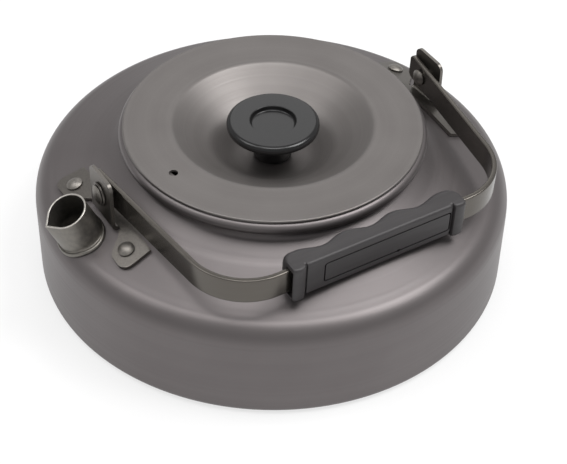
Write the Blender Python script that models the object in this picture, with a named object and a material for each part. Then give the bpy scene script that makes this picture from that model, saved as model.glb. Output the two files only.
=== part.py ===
"""Camping kettle: a low spun-aluminium kettle with a folding bail handle and a lift-off lid.

Metres, +Z up. The origin is the centre of the flat base. The spout points to -X, the hinge axis of the
bail runs along X, and the bail lies folded towards -Y. Pieces keep a small gap where they meet.
"""
import itertools
import math

import bmesh
import bpy
from mathutils import Matrix, Vector

MM = 0.001

# Gaps between pieces
SEAT_GAP = 0.25 * MM      # pieces that rest on, or are clamped to, each other
HOLE_GAP = 0.3 * MM       # around a shank in its hole, on the radius
BAIL_REST_GAP = 0.5 * MM  # between the folded grip and the shoulder
BAIL_SIDE_GAP = 0.3 * MM  # between the bail's end and the ear beside it

# Kettle body, spun from one sheet
BODY_RADIUS = 80.0 * MM
BODY_SHEET = 1.0 * MM
BASE_FILLET = 3.0 * MM
WALL_HEIGHT = 28.0 * MM        # where the upright wall starts to curve in
SHOULDER_FILLET = 8.6 * MM
SHOULDER_SLOPE = math.radians(18.0)
SHOULDER_SPAN = 33.0 * MM      # from the outside of the wall in to the bore of the neck
NECK_FILLET = 2.7 * MM
NECK_STRAIGHT = 3.0 * MM       # upright part of the neck below its rolled bead
BEAD_RADIUS = 2.1 * MM

# Lid: a dished pan with a locating ring below it
LID_SHEET = 0.8 * MM
LID_EDGE_INSET = 1.4 * MM      # how far the bead shows outside the lid
LID_BORDER = 15.3 * MM         # flat border round the dish
LID_EDGE_ROUND = 0.3 * MM
DISH_DEPTH = 13.5 * MM
DISH_EDGE_ROUND = 3.2 * MM
DISH_FLOOR_ROUND = 14.0 * MM
DISH_FLOOR_RADIUS = 9.0 * MM
RING_SHEET = 0.7 * MM
RING_SIDE_GAP = 0.6 * MM       # between the ring and the bore of the neck
RING_DEPTH = 7.0 * MM
RING_FLANGE = 5.0 * MM
VENT_RADIUS = 1.5 * MM
VENT_FROM_EDGE = 8.2 * MM
VENT_ANGLE = math.radians(9.3)  # from the spout towards the folded bail

# Lid knob and what holds it
KNOB_RADIUS = 15.5 * MM
KNOB_RIM = 3.2 * MM            # thickness of the disc at its rim
KNOB_HEIGHT = 13.9 * MM
KNOB_FOOT_RADIUS = 6.4 * MM
KNOB_STEM_RADIUS = 8.0 * MM    # where the stem meets the disc
KNOB_RECESS_RADIUS = 7.6 * MM
KNOB_RECESS_DEPTH = 1.5 * MM
SCREW_RADIUS = 2.0 * MM
SCREW_HEAD_RADIUS = 4.0 * MM
SCREW_HEAD_HEIGHT = 2.2 * MM
INSERT_WALL = 1.1 * MM
INSERT_LENGTH = 7.0 * MM
WASHER_RADIUS = 5.4 * MM
WASHER_SHEET = 0.8 * MM

# Brackets: a riveted foot and an upright ear, bent from one sheet
BRACKET_SHEET = 1.1 * MM
BRACKET_BEND = 0.8 * MM        # inside radius of the bend
FOOT_INNER = 6.2 * MM          # foot inboard of the ear's outer face
FOOT_FRONT = 22.0 * MM         # from the hinge axis to the end on the folded bail's side
FOOT_REAR = 25.0 * MM          # and to the end on the other side
TAB_REACH = 4.5 * MM           # tabs outboard of the ear's outer face
TAB_CORNER = 3.6 * MM
TAB_FAN = 0.33                 # how far the rows turn towards the kettle's axis
EAR_HALF_WIDTH = 7.0 * MM
EAR_RELIEF = 1.4 * MM          # notch between ear and tab
EAR_RISE = 7.6 * MM            # top of the ear above the hinge axis
EAR_CORNER = 2.6 * MM

# Tab rivets
RIVET_RADIUS = 1.5 * MM
RIVET_HEAD_RADIUS = 2.7 * MM
RIVET_HEAD_HEIGHT = 1.3 * MM
RIVET_TAIL_RADIUS = 2.5 * MM
RIVET_TAIL_HEIGHT = 0.9 * MM
RIVET_END = 5.2 * MM           # from the rivet's middle to the end of the foot
RIVET_INSET = 0.3 * MM         # inboard of the ear's outer face

# Bail: a flat strip on edge, bent to a U
PIVOT_INSET = 19.5 * MM        # from the outside of the wall in to the strip, at the hinge
PIVOT_RISE = 10.1 * MM         # hinge axis above the shoulder
STRIP_WIDTH = 9.2 * MM
STRIP_THICKNESS = 1.8 * MM
STRIP_TAIL = 7.7 * MM          # strip beyond the hinge axis
STRIP_CORNER = 2.2 * MM
BAIL_TAPER = math.radians(7.0)
BAIL_BEND = 20.0 * MM
PIVOT_RADIUS = 1.9 * MM
PIVOT_HEAD_RADIUS = 3.3 * MM
PIVOT_HEAD_HEIGHT = 1.1 * MM
PIVOT_DOME_RADIUS = 2.8 * MM
PIVOT_DOME_HEIGHT = 1.5 * MM
PIVOT_WASHER_RADIUS = 4.0 * MM
PIVOT_WASHER_SHEET = 0.6 * MM

# Grip, moulded round the straight bar of the bail
GRIP_HEIGHT = 13.0 * MM
GRIP_OUTER = 2.8 * MM          # from the strip's middle to the flat outer face
GRIP_INNER = 6.0 * MM          # from the strip's middle to the crests between the fingers
GRIP_LID_GAP = 4.2 * MM        # from the bead to those crests
GRIP_BEND_MARGIN = 3.5 * MM    # bare straight strip between grip and bend
GRIP_SLOT_GAP = 0.3 * MM
FINGER_DEPTH = 2.0 * MM
FINGER_MIDDLE = 17.6 * MM      # length of the middle hollow
FINGER_LAND = 5.2 * MM         # from the end of the grip to the outer crests
GRIP_OUTER_ROUND = 1.3 * MM
GRIP_INNER_ROUND = 3.0 * MM
GRIP_CORNER = 3.6 * MM         # of the grip's ends on the lid's side, seen from above
RIB_LENGTH = 4.4 * MM
RIB_SWELL = 0.6 * MM
GROOVE_LENGTH = 0.9 * MM
GROOVE_DEPTH = 0.6 * MM
PANEL_MARGIN = 3.0 * MM
PANEL_HEIGHT = 7.5 * MM
PANEL_RELIEF = 0.35 * MM

# Spout: a short tube with a pinched lip, its throat rolled over inside the body
SPOUT_RADIUS = 7.5 * MM
SPOUT_PINCH = 0.8 * MM         # how much narrower the lip is than the tube, on the radius
SPOUT_WALL = 0.9 * MM
SPOUT_ELEVATION = math.radians(66.0)
SPOUT_LENGTH = 12.5 * MM
SPOUT_FLANGE = 1.2 * MM
SPOUT_FLANGE_INNER = 0.3 * MM  # flange next to the ear
SPOUT_THROAT_STEP = 1.3 * MM   # from the tube in to its throat
SPOUT_ROLL = 1.0 * MM

# Fineness of round pieces
BODY_STEPS = 56
KNOB_STEPS = 36
SMALL_STEPS = 16
SPOUT_STEPS = 32

# Places that follow from the sizes above
FILLET_AXIS = BODY_RADIUS - SHOULDER_FILLET
CONE_START_RADIUS = FILLET_AXIS + SHOULDER_FILLET * math.sin(SHOULDER_SLOPE)
CONE_START_HEIGHT = WALL_HEIGHT + SHOULDER_FILLET * math.cos(SHOULDER_SLOPE)
NECK_BORE = BODY_RADIUS - SHOULDER_SPAN
BEAD_OUTER = NECK_BORE + 2 * BEAD_RADIUS


def shoulder_height(radius, offset=0.0):
    """Height of the shoulder's outer surface, or of a surface that lies offset above it."""
    fillet = SHOULDER_FILLET + offset
    cone_start = FILLET_AXIS + fillet * math.sin(SHOULDER_SLOPE)
    if radius <= cone_start:
        cone = CONE_START_HEIGHT + (CONE_START_RADIUS - radius) * math.tan(SHOULDER_SLOPE)
        return cone + offset / math.cos(SHOULDER_SLOPE)
    drop = fillet ** 2 - (radius - FILLET_AXIS) ** 2
    if drop >= 0:
        return WALL_HEIGHT + math.sqrt(drop)
    return WALL_HEIGHT - 10 * (radius - FILLET_AXIS - fillet)


NECK_OUTER = NECK_BORE + BODY_SHEET
NECK_FILLET_HEIGHT = (shoulder_height(NECK_OUTER + NECK_FILLET)
                      + NECK_FILLET / math.cos(SHOULDER_SLOPE))
BEAD_AXIS = NECK_BORE + BEAD_RADIUS
BEAD_HEIGHT = (NECK_FILLET_HEIGHT + NECK_STRAIGHT
               + math.sqrt(BEAD_RADIUS ** 2 - (BEAD_RADIUS - BODY_SHEET) ** 2))
RIM_HEIGHT = BEAD_HEIGHT + BEAD_RADIUS

LID_RADIUS = BEAD_OUTER - LID_EDGE_INSET
LID_UNDERSIDE = RIM_HEIGHT + SEAT_GAP
LID_TOP = LID_UNDERSIDE + LID_SHEET
DISH_RADIUS = LID_RADIUS - LID_BORDER
DISH_FLOOR = LID_TOP - DISH_DEPTH
DISH_RUN = DISH_RADIUS - DISH_FLOOR_RADIUS
DISH_ROUNDS = 0.95 * (DISH_RUN ** 2 + DISH_DEPTH ** 2) / (2 * DISH_DEPTH)  # both rounds, as far as they fit
DISH_FLOOR_FILLET = min(DISH_FLOOR_ROUND, DISH_ROUNDS - DISH_EDGE_ROUND)
LID_HOLE_RADIUS = SCREW_RADIUS + HOLE_GAP
RING_RADIUS = NECK_BORE - RING_SIDE_GAP
VENT_RING_RADIUS = LID_RADIUS - VENT_FROM_EDGE

PIVOT_SPAN = BODY_RADIUS - PIVOT_INSET
PIVOT_HEIGHT = shoulder_height(PIVOT_SPAN) + PIVOT_RISE
STRIP_HALF_ACROSS = STRIP_THICKNESS / 2 / math.cos(BAIL_TAPER)
EAR_INNER = PIVOT_SPAN + STRIP_TAIL * math.tan(BAIL_TAPER) + STRIP_HALF_ACROSS + BAIL_SIDE_GAP
EAR_OUTER = EAR_INNER + BRACKET_SHEET
FOOT_EDGE = EAR_OUTER - FOOT_INNER
BEND_OUTSIDE = BRACKET_BEND + BRACKET_SHEET
RIVET_X = EAR_OUTER - RIVET_INSET

BAIL_REACH = BEAD_OUTER + GRIP_LID_GAP + GRIP_INNER
BEND_TANGENT = BAIL_BEND * math.tan((math.pi / 2 - BAIL_TAPER) / 2)
BAR_HALF = PIVOT_SPAN - BAIL_REACH * math.tan(BAIL_TAPER) - BEND_TANGENT
GRIP_HALF = BAR_HALF - GRIP_BEND_MARGIN

SPOUT_LIP_RADIUS = SPOUT_RADIUS - SPOUT_PINCH
SPOUT_THROAT_RADIUS = SPOUT_RADIUS - SPOUT_THROAT_STEP
SPOUT_ROOT = EAR_OUTER + SEAT_GAP + SPOUT_FLANGE_INNER
SPOUT_LEAN = SPOUT_ELEVATION + SHOULDER_SLOPE
SPOUT_X = SPOUT_ROOT + SPOUT_RADIUS / math.sin(SPOUT_LEAN) * math.cos(SHOULDER_SLOPE)


def material(name, hex_colour, metallic, roughness):
    """A Principled material with a plain sRGB colour."""
    made = bpy.data.materials.new(name)
    made.use_nodes = True
    shader = made.node_tree.nodes["Principled BSDF"]
    channels = [int(hex_colour[i:i + 2], 16) / 255 for i in (1, 3, 5)]
    linear = [c / 12.92 if c <= 0.04045 else ((c + 0.055) / 1.055) ** 2.4 for c in channels]
    shader.inputs["Base Color"].default_value = (*linear, 1)
    shader.inputs["Metallic"].default_value = metallic
    shader.inputs["Roughness"].default_value = roughness
    made.diffuse_color = (*linear, 1)
    return made


def mesh_from(bm, name, sharp_angle=35.0):
    """Close a bmesh into a mesh with outward faces, smooth but for its sharp edges."""
    bmesh.ops.remove_doubles(bm, verts=bm.verts, dist=1e-7)
    bmesh.ops.recalc_face_normals(bm, faces=bm.faces)
    mesh = bpy.data.meshes.new(name)
    bm.to_mesh(mesh)
    bm.free()
    mesh.shade_smooth()
    mesh.set_sharp_from_angle(angle=math.radians(sharp_angle))
    return mesh


def place(name, mesh, finish=None, parent=None, matrix=None):
    """Put a mesh in the scene as one named sub-part."""
    thing = bpy.data.objects.new(name, mesh)
    bpy.context.scene.collection.objects.link(thing)
    if finish is not None and not mesh.materials:
        mesh.materials.append(finish)
    if matrix is not None:
        thing.matrix_world = matrix
    if parent is not None:
        thing.parent = parent
    return thing


def empty(name, location, tilt=0.0):
    """An empty on a joint's axis, which carries the pieces that move there."""
    anchor = bpy.data.objects.new(name, None)
    anchor.location = location
    anchor.rotation_euler = (tilt, 0, 0)
    bpy.context.scene.collection.objects.link(anchor)
    return anchor


def cut(target, meshes, matrix=None):
    """Take the shapes out of the target and keep the result as its mesh, with its new edges sharp."""
    bpy.context.view_layer.update()
    tools = []
    for mesh in meshes:
        tool = place("cutter", mesh, matrix=matrix)
        tools.append(tool)
        modifier = target.modifiers.new("cut", "BOOLEAN")
        modifier.operation = "DIFFERENCE"
        modifier.object = tool
    bpy.context.view_layer.update()
    depsgraph = bpy.context.evaluated_depsgraph_get()
    result = bpy.data.meshes.new_from_object(target.evaluated_get(depsgraph), depsgraph=depsgraph)
    target.modifiers.clear()
    old = target.data
    target.data = result
    bpy.data.meshes.remove(old)
    result.name = target.name
    result.shade_smooth()
    result.set_sharp_from_angle(angle=math.radians(35))
    for tool in tools:
        bpy.data.meshes.remove(tool.data)


def arc(centre, radius, start, end, steps):
    """Points of an arc in the (radius, height) plane, angles in degrees."""
    angles = [math.radians(start + (end - start) * i / steps) for i in range(steps + 1)]
    return [(centre[0] + radius * math.cos(a), centre[1] + radius * math.sin(a)) for a in angles]


def turned(name, outline, steps, closed=False):
    """Spin an outline of (radius, height) points round Z. An open one starts and ends on the axis."""
    bm = bmesh.new()
    points = [bm.verts.new((r, 0, z)) for r, z in outline]
    pairs = list(zip(points, points[1:]))
    if closed:
        pairs.append((points[-1], points[0]))
    edges = [bm.edges.new(pair) for pair in pairs]
    bmesh.ops.spin(bm, geom=points + edges, cent=(0, 0, 0), axis=(0, 0, 1),
                   angle=2 * math.pi, steps=steps, use_merge=True)
    return mesh_from(bm, name)


def loft(rings, name, sharp_angle=35.0, closed_path=False):
    """Skin a row of rings that have the same number of points; end rings are filled unless it closes."""
    bm = bmesh.new()
    rows = [[bm.verts.new(p) for p in ring] for ring in rings]
    following = rows[1:] + rows[:1] if closed_path else rows[1:]
    for lower, upper in zip(rows, following):
        count = len(lower)
        for i in range(count):
            bm.faces.new((lower[i], lower[(i + 1) % count], upper[(i + 1) % count], upper[i]))
    if not closed_path:
        bm.faces.new(rows[0])
        bm.faces.new(rows[-1])
    return mesh_from(bm, name, sharp_angle)


def body_outline():
    """Section of the spun body: outside from the base up to the bead, then back down inside."""
    slope = math.degrees(SHOULDER_SLOPE)
    neck_centre = (NECK_OUTER + NECK_FILLET, NECK_FILLET_HEIGHT)
    bead_centre = (BEAD_AXIS, BEAD_HEIGHT)
    bead_foot = math.degrees(math.acos((BEAD_RADIUS - BODY_SHEET) / BEAD_RADIUS))
    base_centre = (BODY_RADIUS - BASE_FILLET, BASE_FILLET)
    shoulder_centre = (FILLET_AXIS, WALL_HEIGHT)
    outside = [(0, 0)]
    outside += arc(base_centre, BASE_FILLET, -90, 0, 4)
    outside += arc(shoulder_centre, SHOULDER_FILLET, 0, 90 - slope, 6)
    outside += arc(neck_centre, NECK_FILLET, 270 - slope, 180, 3)
    outside += arc(bead_centre, BEAD_RADIUS, -180 + bead_foot, 180, 9)
    inside = arc(neck_centre, NECK_FILLET + BODY_SHEET, 180, 270 - slope, 2)
    inside += arc(shoulder_centre, SHOULDER_FILLET - BODY_SHEET, 90 - slope, 0, 4)
    inside += arc(base_centre, BASE_FILLET - BODY_SHEET, 0, -90, 2)
    inside.append((0, BODY_SHEET))
    return outside + inside


def dish_section(offset, floor_steps=5, edge_steps=4):
    """Dish of the lid from its floor out to the border, as a surface that lies offset above the top."""
    floor_round = DISH_FLOOR_FILLET - offset
    edge_round = DISH_EDGE_ROUND + offset
    rounds = DISH_FLOOR_FILLET + DISH_EDGE_ROUND
    rise = DISH_DEPTH - rounds
    slope = math.degrees(math.atan2(rise, DISH_RUN) + math.asin(rounds / math.hypot(DISH_RUN, rise)))
    floor_centre = (DISH_FLOOR_RADIUS, DISH_FLOOR + DISH_FLOOR_FILLET)
    edge_centre = (DISH_RADIUS, LID_TOP - DISH_EDGE_ROUND)
    points = arc(floor_centre, floor_round, -90, -90 + slope, floor_steps)
    points += arc(edge_centre, edge_round, 90 + slope, 90, edge_steps)
    return points


def lid_outline():
    """Section of the lid pan: its top from the screw hole outwards, then the underside back in."""
    top = [(LID_HOLE_RADIUS, DISH_FLOOR)] + dish_section(0.0)
    edge_centre = (LID_RADIUS - LID_EDGE_ROUND, LID_TOP - LID_EDGE_ROUND)
    top += arc(edge_centre, LID_EDGE_ROUND, 90, 0, 2)
    underside = [(LID_RADIUS, LID_UNDERSIDE)] + dish_section(-LID_SHEET, 3, 3)[::-1]
    underside.append((LID_HOLE_RADIUS, DISH_FLOOR - LID_SHEET))
    return top + underside


def ring_outline():
    """Section of the locating ring: a flange under the lid and a skirt down into the neck."""
    top = LID_UNDERSIDE - SEAT_GAP
    bottom = top - RING_DEPTH
    corner = (RING_RADIUS - RING_SHEET - 0.6 * MM, top - RING_SHEET - 0.6 * MM)
    outer_corner = arc(corner, RING_SHEET + 0.6 * MM, 90, 0, 2)
    inner_corner = arc(corner, 0.6 * MM, 0, 90, 2)
    flange = RING_RADIUS - RING_FLANGE
    return ([(flange, top)] + outer_corner + [(RING_RADIUS, bottom), (RING_RADIUS - RING_SHEET, bottom)]
            + inner_corner + [(flange, top - RING_SHEET)])


def knob_outline():
    """Section of the knob: foot, flared stem, rounded disc and shallow recess, and the insert's bore."""
    foot = DISH_FLOOR + SEAT_GAP
    top = foot + KNOB_HEIGHT
    round_radius = KNOB_RIM / 2
    rim_centre = (KNOB_RADIUS - round_radius, top - round_radius)
    under = top - KNOB_RIM
    flare = 2.2 * MM
    bore = SCREW_RADIUS + HOLE_GAP + INSERT_WALL + SEAT_GAP
    bore_top = foot + SEAT_GAP + INSERT_LENGTH + SEAT_GAP
    section = [(bore, foot), (KNOB_FOOT_RADIUS - 0.4 * MM, foot), (KNOB_FOOT_RADIUS, foot + 0.4 * MM)]
    section += arc((KNOB_STEM_RADIUS + flare, under - flare), flare, 180, 90, 4)
    section += arc(rim_centre, round_radius, -90, 90, 6)
    recess_round = 0.6 * MM
    section += [(KNOB_RECESS_RADIUS + recess_round, top)]
    section += arc((KNOB_RECESS_RADIUS + recess_round, top - recess_round), recess_round, 90, 180, 2)[1:]
    section += [(KNOB_RECESS_RADIUS - 0.7 * MM, top - KNOB_RECESS_DEPTH), (0, top - KNOB_RECESS_DEPTH)]
    return [(0, bore_top), (bore, bore_top)] + section


def insert_outline():
    """Section of the threaded insert in the knob's foot."""
    low = DISH_FLOOR + 2 * SEAT_GAP
    inner = SCREW_RADIUS + HOLE_GAP
    outer = inner + INSERT_WALL
    return [(inner, low), (outer, low), (outer, low + INSERT_LENGTH), (inner, low + INSERT_LENGTH)]


def knob_washer_outline():
    """Section of the washer below the dish."""
    top = DISH_FLOOR - LID_SHEET - SEAT_GAP
    return [(LID_HOLE_RADIUS, top - WASHER_SHEET), (WASHER_RADIUS, top - WASHER_SHEET),
            (WASHER_RADIUS, top), (LID_HOLE_RADIUS, top)]


def knob_screw_outline():
    """Section of the pan-head screw that comes up through washer, lid and insert."""
    seat = DISH_FLOOR - LID_SHEET - SEAT_GAP - WASHER_SHEET - SEAT_GAP
    tip = DISH_FLOOR + 2 * SEAT_GAP + INSERT_LENGTH - 0.5 * MM
    head_round = SCREW_HEAD_HEIGHT * 0.6
    low = seat - SCREW_HEAD_HEIGHT
    crown = arc((SCREW_HEAD_RADIUS - head_round, low + head_round), head_round, -90, 0, 4)
    return ([(0, low)] + crown + [(SCREW_HEAD_RADIUS, seat), (SCREW_RADIUS, seat),
            (SCREW_RADIUS, tip - 0.5 * MM), (SCREW_RADIUS - 0.5 * MM, tip), (0, tip)])


def domed(radius, height, base, steps=4):
    """Half section of a low dome on a plane, from its rim to the axis."""
    sphere = (radius ** 2 + height ** 2) / (2 * height)
    span = math.asin(min(1.0, radius / sphere))
    angles = [span * (1 - i / steps) for i in range(steps + 1)]
    centre = base + height - sphere
    return [(sphere * math.sin(a), centre + sphere * math.cos(a)) for a in angles]


def tab_rivet_outline():
    """Section of a tab rivet; height 0 is the shoulder's outer surface."""
    tail_seat = -BODY_SHEET - SEAT_GAP
    head_seat = BRACKET_SHEET + 2 * SEAT_GAP
    low = tail_seat - RIVET_TAIL_HEIGHT
    shank = [(0, low), (RIVET_TAIL_RADIUS - 0.3 * MM, low), (RIVET_TAIL_RADIUS, low + 0.3 * MM),
             (RIVET_TAIL_RADIUS, tail_seat), (RIVET_RADIUS, tail_seat), (RIVET_RADIUS, head_seat)]
    return shank + domed(RIVET_HEAD_RADIUS, RIVET_HEAD_HEIGHT, head_seat)


def pivot_rivet_outline():
    """Section of a hinge rivet along its axis; height 0 is the middle of the strip, up is outboard."""
    dome_seat = -STRIP_HALF_ACROSS - PIVOT_DOME_RADIUS * math.tan(BAIL_TAPER) - SEAT_GAP
    head_seat = EAR_OUTER - PIVOT_SPAN + 2 * SEAT_GAP + PIVOT_WASHER_SHEET
    dome = [(r, 2 * dome_seat - z) for r, z in domed(PIVOT_DOME_RADIUS, PIVOT_DOME_HEIGHT, dome_seat)]
    return (dome[::-1] + [(PIVOT_RADIUS, dome_seat), (PIVOT_RADIUS, head_seat)]
            + domed(PIVOT_HEAD_RADIUS, PIVOT_HEAD_HEIGHT, head_seat))


def pivot_washer_outline():
    """Section of the washer between an ear and the outer head of its hinge rivet."""
    low = EAR_OUTER - PIVOT_SPAN + SEAT_GAP
    high = low + PIVOT_WASHER_SHEET
    inner = PIVOT_RADIUS + HOLE_GAP
    return [(inner, low), (PIVOT_WASHER_RADIUS, low), (PIVOT_WASHER_RADIUS, high), (inner, high)]


def pin_mesh(name, radius, low, high):
    """A plain cylinder round Z, for cutting holes."""
    return turned(name, [(0, low), (radius, low), (radius, high), (0, high)], SMALL_STEPS)


def pivot_matrix(side):
    """Frame of a hinge rivet: its Z points outboard along the hinge axis."""
    turn = Matrix.Rotation(side * math.pi / 2, 4, "Y")
    return Matrix.Translation((side * PIVOT_SPAN, 0, PIVOT_HEIGHT)) @ turn


def shoulder_matrix(x, y):
    """Frame that stands on the shoulder's cone above (x, y), with Z along its normal."""
    radius = math.hypot(x, y)
    outward = Vector((x, y, 0)) / radius
    normal = outward * math.sin(SHOULDER_SLOPE) + Vector((0, 0, math.cos(SHOULDER_SLOPE)))
    turn = normal.to_track_quat("Z", "Y").to_matrix().to_4x4()
    return Matrix.Translation((x, y, shoulder_height(radius))) @ turn


def rivet_places():
    """Name, x and y of each tab rivet."""
    sides = (("spout_side", -1), ("back_side", 1))
    ends = (("front", RIVET_END - FOOT_FRONT), ("rear", FOOT_REAR - RIVET_END))
    return [(side_name + "_" + end_name, side * RIVET_X, y)
            for side_name, side in sides for end_name, y in ends]


def foot_length(along):
    """Length of the foot from the hinge axis to its end, on the side where the place lies."""
    return FOOT_FRONT if along < 0 else FOOT_REAR


def foot_point(across, along, side):
    """Point on the foot's lower face: across outboard from the axis, along the bracket."""
    inner = FOOT_EDGE
    turned_along = along * (1 + TAB_FAN * (across - inner) / inner)
    radius = math.hypot(across, turned_along)
    return (side * across, turned_along, shoulder_height(radius, SEAT_GAP))


def tab_edge(along):
    """Outboard edge of a tab: it flares out from the notch and rounds off at the end."""
    start = EAR_HALF_WIDTH + EAR_RELIEF
    distance = abs(along)
    flare = min(1.0, (distance - start) / (0.32 * FOOT_FRONT))
    edge = EAR_OUTER - 1.6 * MM + (TAB_REACH + 1.6 * MM) * flare ** 2 * (3 - 2 * flare)
    past = distance - (foot_length(along) - TAB_CORNER)
    if past > 0:
        edge -= TAB_CORNER - math.sqrt(max(0.0, TAB_CORNER ** 2 - past ** 2))
    return edge


def ear_top(along):
    """Top edge of the ear, with rounded corners."""
    top = PIVOT_HEIGHT + EAR_RISE
    past = abs(along) - (EAR_HALF_WIDTH - EAR_CORNER)
    if past <= 0:
        return top
    return top - EAR_CORNER + math.sqrt(max(0.0, EAR_CORNER ** 2 - past ** 2))


def bracket_mesh(name, side):
    """Lower and outer face of a bracket as one bent sheet; Solidify gives it its thickness."""
    bm = bmesh.new()
    grid = {}
    root = EAR_OUTER - BEND_OUTSIDE - BEND_OUTSIDE * math.sin(SHOULDER_SLOPE)
    notch = EAR_HALF_WIDTH + EAR_RELIEF
    ear_rows = [EAR_HALF_WIDTH * f for f in (-1, -0.95, -0.84, -0.63, 0, 0.63, 0.84, 0.95, 1)]
    tab_steps = (0, 0.15, 0.3, 0.45, 0.6, 0.74, 0.86, 0.94, 1)
    front_rows = [-notch - (FOOT_FRONT - notch) * f for f in reversed(tab_steps)]
    rear_rows = [notch + (FOOT_REAR - notch) * f for f in tab_steps]
    rows = front_rows + ear_rows + rear_rows

    def vertex(key, point):
        if key not in grid:
            grid[key] = bm.verts.new(point)
        return grid[key]

    def skin(columns, first, last):
        """Faces over the rows from first to last; columns maps a row to its named points."""
        for low, high in zip(range(first, last), range(first + 1, last + 1)):
            left, right = columns(low), columns(high)
            for i in range(len(left) - 1):
                quad = [vertex(*left[i]), vertex(*left[i + 1]), vertex(*right[i + 1]), vertex(*right[i])]
                bm.faces.new(quad)

    def base_columns(row):
        steps = [FOOT_EDGE + (root - FOOT_EDGE) * f for f in (0, 0.5, 1)]
        return [((row, i), foot_point(x, rows[row], side)) for i, x in enumerate(steps)]

    def tab_columns(row):
        edge = tab_edge(rows[row])
        steps = [root + (edge - root) * f for f in (0, 0.33, 0.67, 1)]
        return [((row, 2 + i), foot_point(x, rows[row], side)) for i, x in enumerate(steps)]

    def ear_columns(row):
        start = foot_point(root, rows[row], side)
        centre = (EAR_OUTER - BEND_OUTSIDE, start[2] + BEND_OUTSIDE * math.cos(SHOULDER_SLOPE))
        bend = arc(centre, BEND_OUTSIDE, -90 - math.degrees(SHOULDER_SLOPE), 0, 4)
        top = ear_top(rows[row])
        rise = [(EAR_OUTER, centre[1] + (top - centre[1]) * f) for f in (0.5, 1)]
        points = [((row, 2), start)]
        points += [((row, 3 + i), (side * x, start[1], z)) for i, (x, z) in enumerate(bend[1:] + rise)]
        return points

    last_tab = len(front_rows) - 1
    first_ear = len(front_rows)
    last_ear = first_ear + len(ear_rows) - 1
    skin(base_columns, 0, len(rows) - 1)
    skin(tab_columns, 0, last_tab)
    skin(ear_columns, first_ear, last_ear)
    skin(tab_columns, last_ear + 1, len(rows) - 1)
    bmesh.ops.recalc_face_normals(bm, faces=bm.faces)
    upward = sum(face.normal.z for face in bm.faces)
    if upward < 0:
        bmesh.ops.reverse_faces(bm, faces=bm.faces)
    mesh = bpy.data.meshes.new(name)
    bm.to_mesh(mesh)
    bm.free()
    mesh.shade_smooth()
    mesh.set_sharp_from_angle(angle=math.radians(35))
    return mesh


def make_bracket(name, side, finish):
    """A bracket with its thickness above and inboard of the modelled face."""
    bracket = place(name, bracket_mesh(name, side), finish)
    sheet = bracket.modifiers.new("sheet", "SOLIDIFY")
    sheet.thickness = BRACKET_SHEET
    sheet.offset = 1.0
    sheet.use_even_offset = True
    return bracket


def bail_path():
    """Middle line of the U in the bail's plane: (x, reach, direction angle) from one tail to the other."""
    arm_angle = math.pi / 2 + BAIL_TAPER
    tail = [STRIP_CORNER * (1 - math.cos(math.pi / 2 * i / 5)) - STRIP_TAIL for i in range(6)]
    stations = [(PIVOT_SPAN - reach * math.tan(BAIL_TAPER), reach, arm_angle) for reach in tail]
    bend_centre = (BAR_HALF, BAIL_REACH - BAIL_BEND)
    for i in range(11):
        turn = BAIL_TAPER + (math.pi / 2 - BAIL_TAPER) * i / 10
        x = bend_centre[0] + BAIL_BEND * math.cos(turn)
        reach = bend_centre[1] + BAIL_BEND * math.sin(turn)
        stations.append((x, reach, turn + math.pi / 2))
    mirrored = [(-x, reach, -angle) for x, reach, angle in reversed(stations)]
    return stations + mirrored


def strip_half_width(reach):
    """Half the strip's width, less at the tails, where the corners are rounded."""
    past = STRIP_CORNER - STRIP_TAIL - reach
    if past <= 0:
        return STRIP_WIDTH / 2
    return STRIP_WIDTH / 2 - STRIP_CORNER + math.sqrt(max(0.0, STRIP_CORNER ** 2 - past ** 2))


def bail_strip_mesh(name):
    """Flat strip on edge, swept round the U. The bail's own frame has the grip towards -Y."""
    rings = []
    for x, reach, angle in bail_path():
        half = strip_half_width(reach)
        side = Vector((math.cos(angle + math.pi / 2), math.sin(angle + math.pi / 2))) * STRIP_THICKNESS / 2
        corners = ((side, half), (-side, half), (-side, -half), (side, -half))
        rings.append([(x + s.x, -(reach + s.y), h) for s, h in corners])
    return loft(rings, name, 30)


def finger_depth(x):
    """Depth of the finger hollows below the crests, at x along the grip."""
    outer_crest = GRIP_HALF - FINGER_LAND
    inner_crest = FINGER_MIDDLE / 2
    distance = abs(x)
    if distance <= inner_crest:
        return FINGER_DEPTH * (1 + math.cos(math.pi * distance / inner_crest)) / 2
    if distance <= outer_crest:
        phase = (distance - inner_crest) / (outer_crest - inner_crest)
        return FINGER_DEPTH * (1 - math.cos(2 * math.pi * phase)) / 2
    return 0.0


def inner_reach(x):
    """Reach of the finger side from the strip's middle, at x along the grip."""
    past = abs(x) - (GRIP_HALF - GRIP_CORNER)
    corner = 0.0
    if past > 0:
        corner = GRIP_CORNER - math.sqrt(max(0.0, GRIP_CORNER ** 2 - past ** 2))
    return GRIP_INNER - finger_depth(x) - corner


def grip_section(x, swell, shrink):
    """Closed section of the grip at x: flat and square outside, rounded on the finger side."""
    outer = GRIP_OUTER + swell
    inner = inner_reach(x)
    large = min(GRIP_INNER_ROUND, 0.8 * inner)
    half = GRIP_HEIGHT / 2 - shrink
    outline = arc((outer - GRIP_OUTER_ROUND, half - GRIP_OUTER_ROUND), GRIP_OUTER_ROUND, 0, 90, 2)
    outline += arc((-inner + large, half - large), large, 90, 180, 4)
    outline += arc((-inner + large, -half + large), large, 180, 270, 4)
    outline += arc((outer - GRIP_OUTER_ROUND, -half + GRIP_OUTER_ROUND), GRIP_OUTER_ROUND, 270, 360, 2)
    return [(x, -(BAIL_REACH + reach), z) for reach, z in outline]


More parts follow.
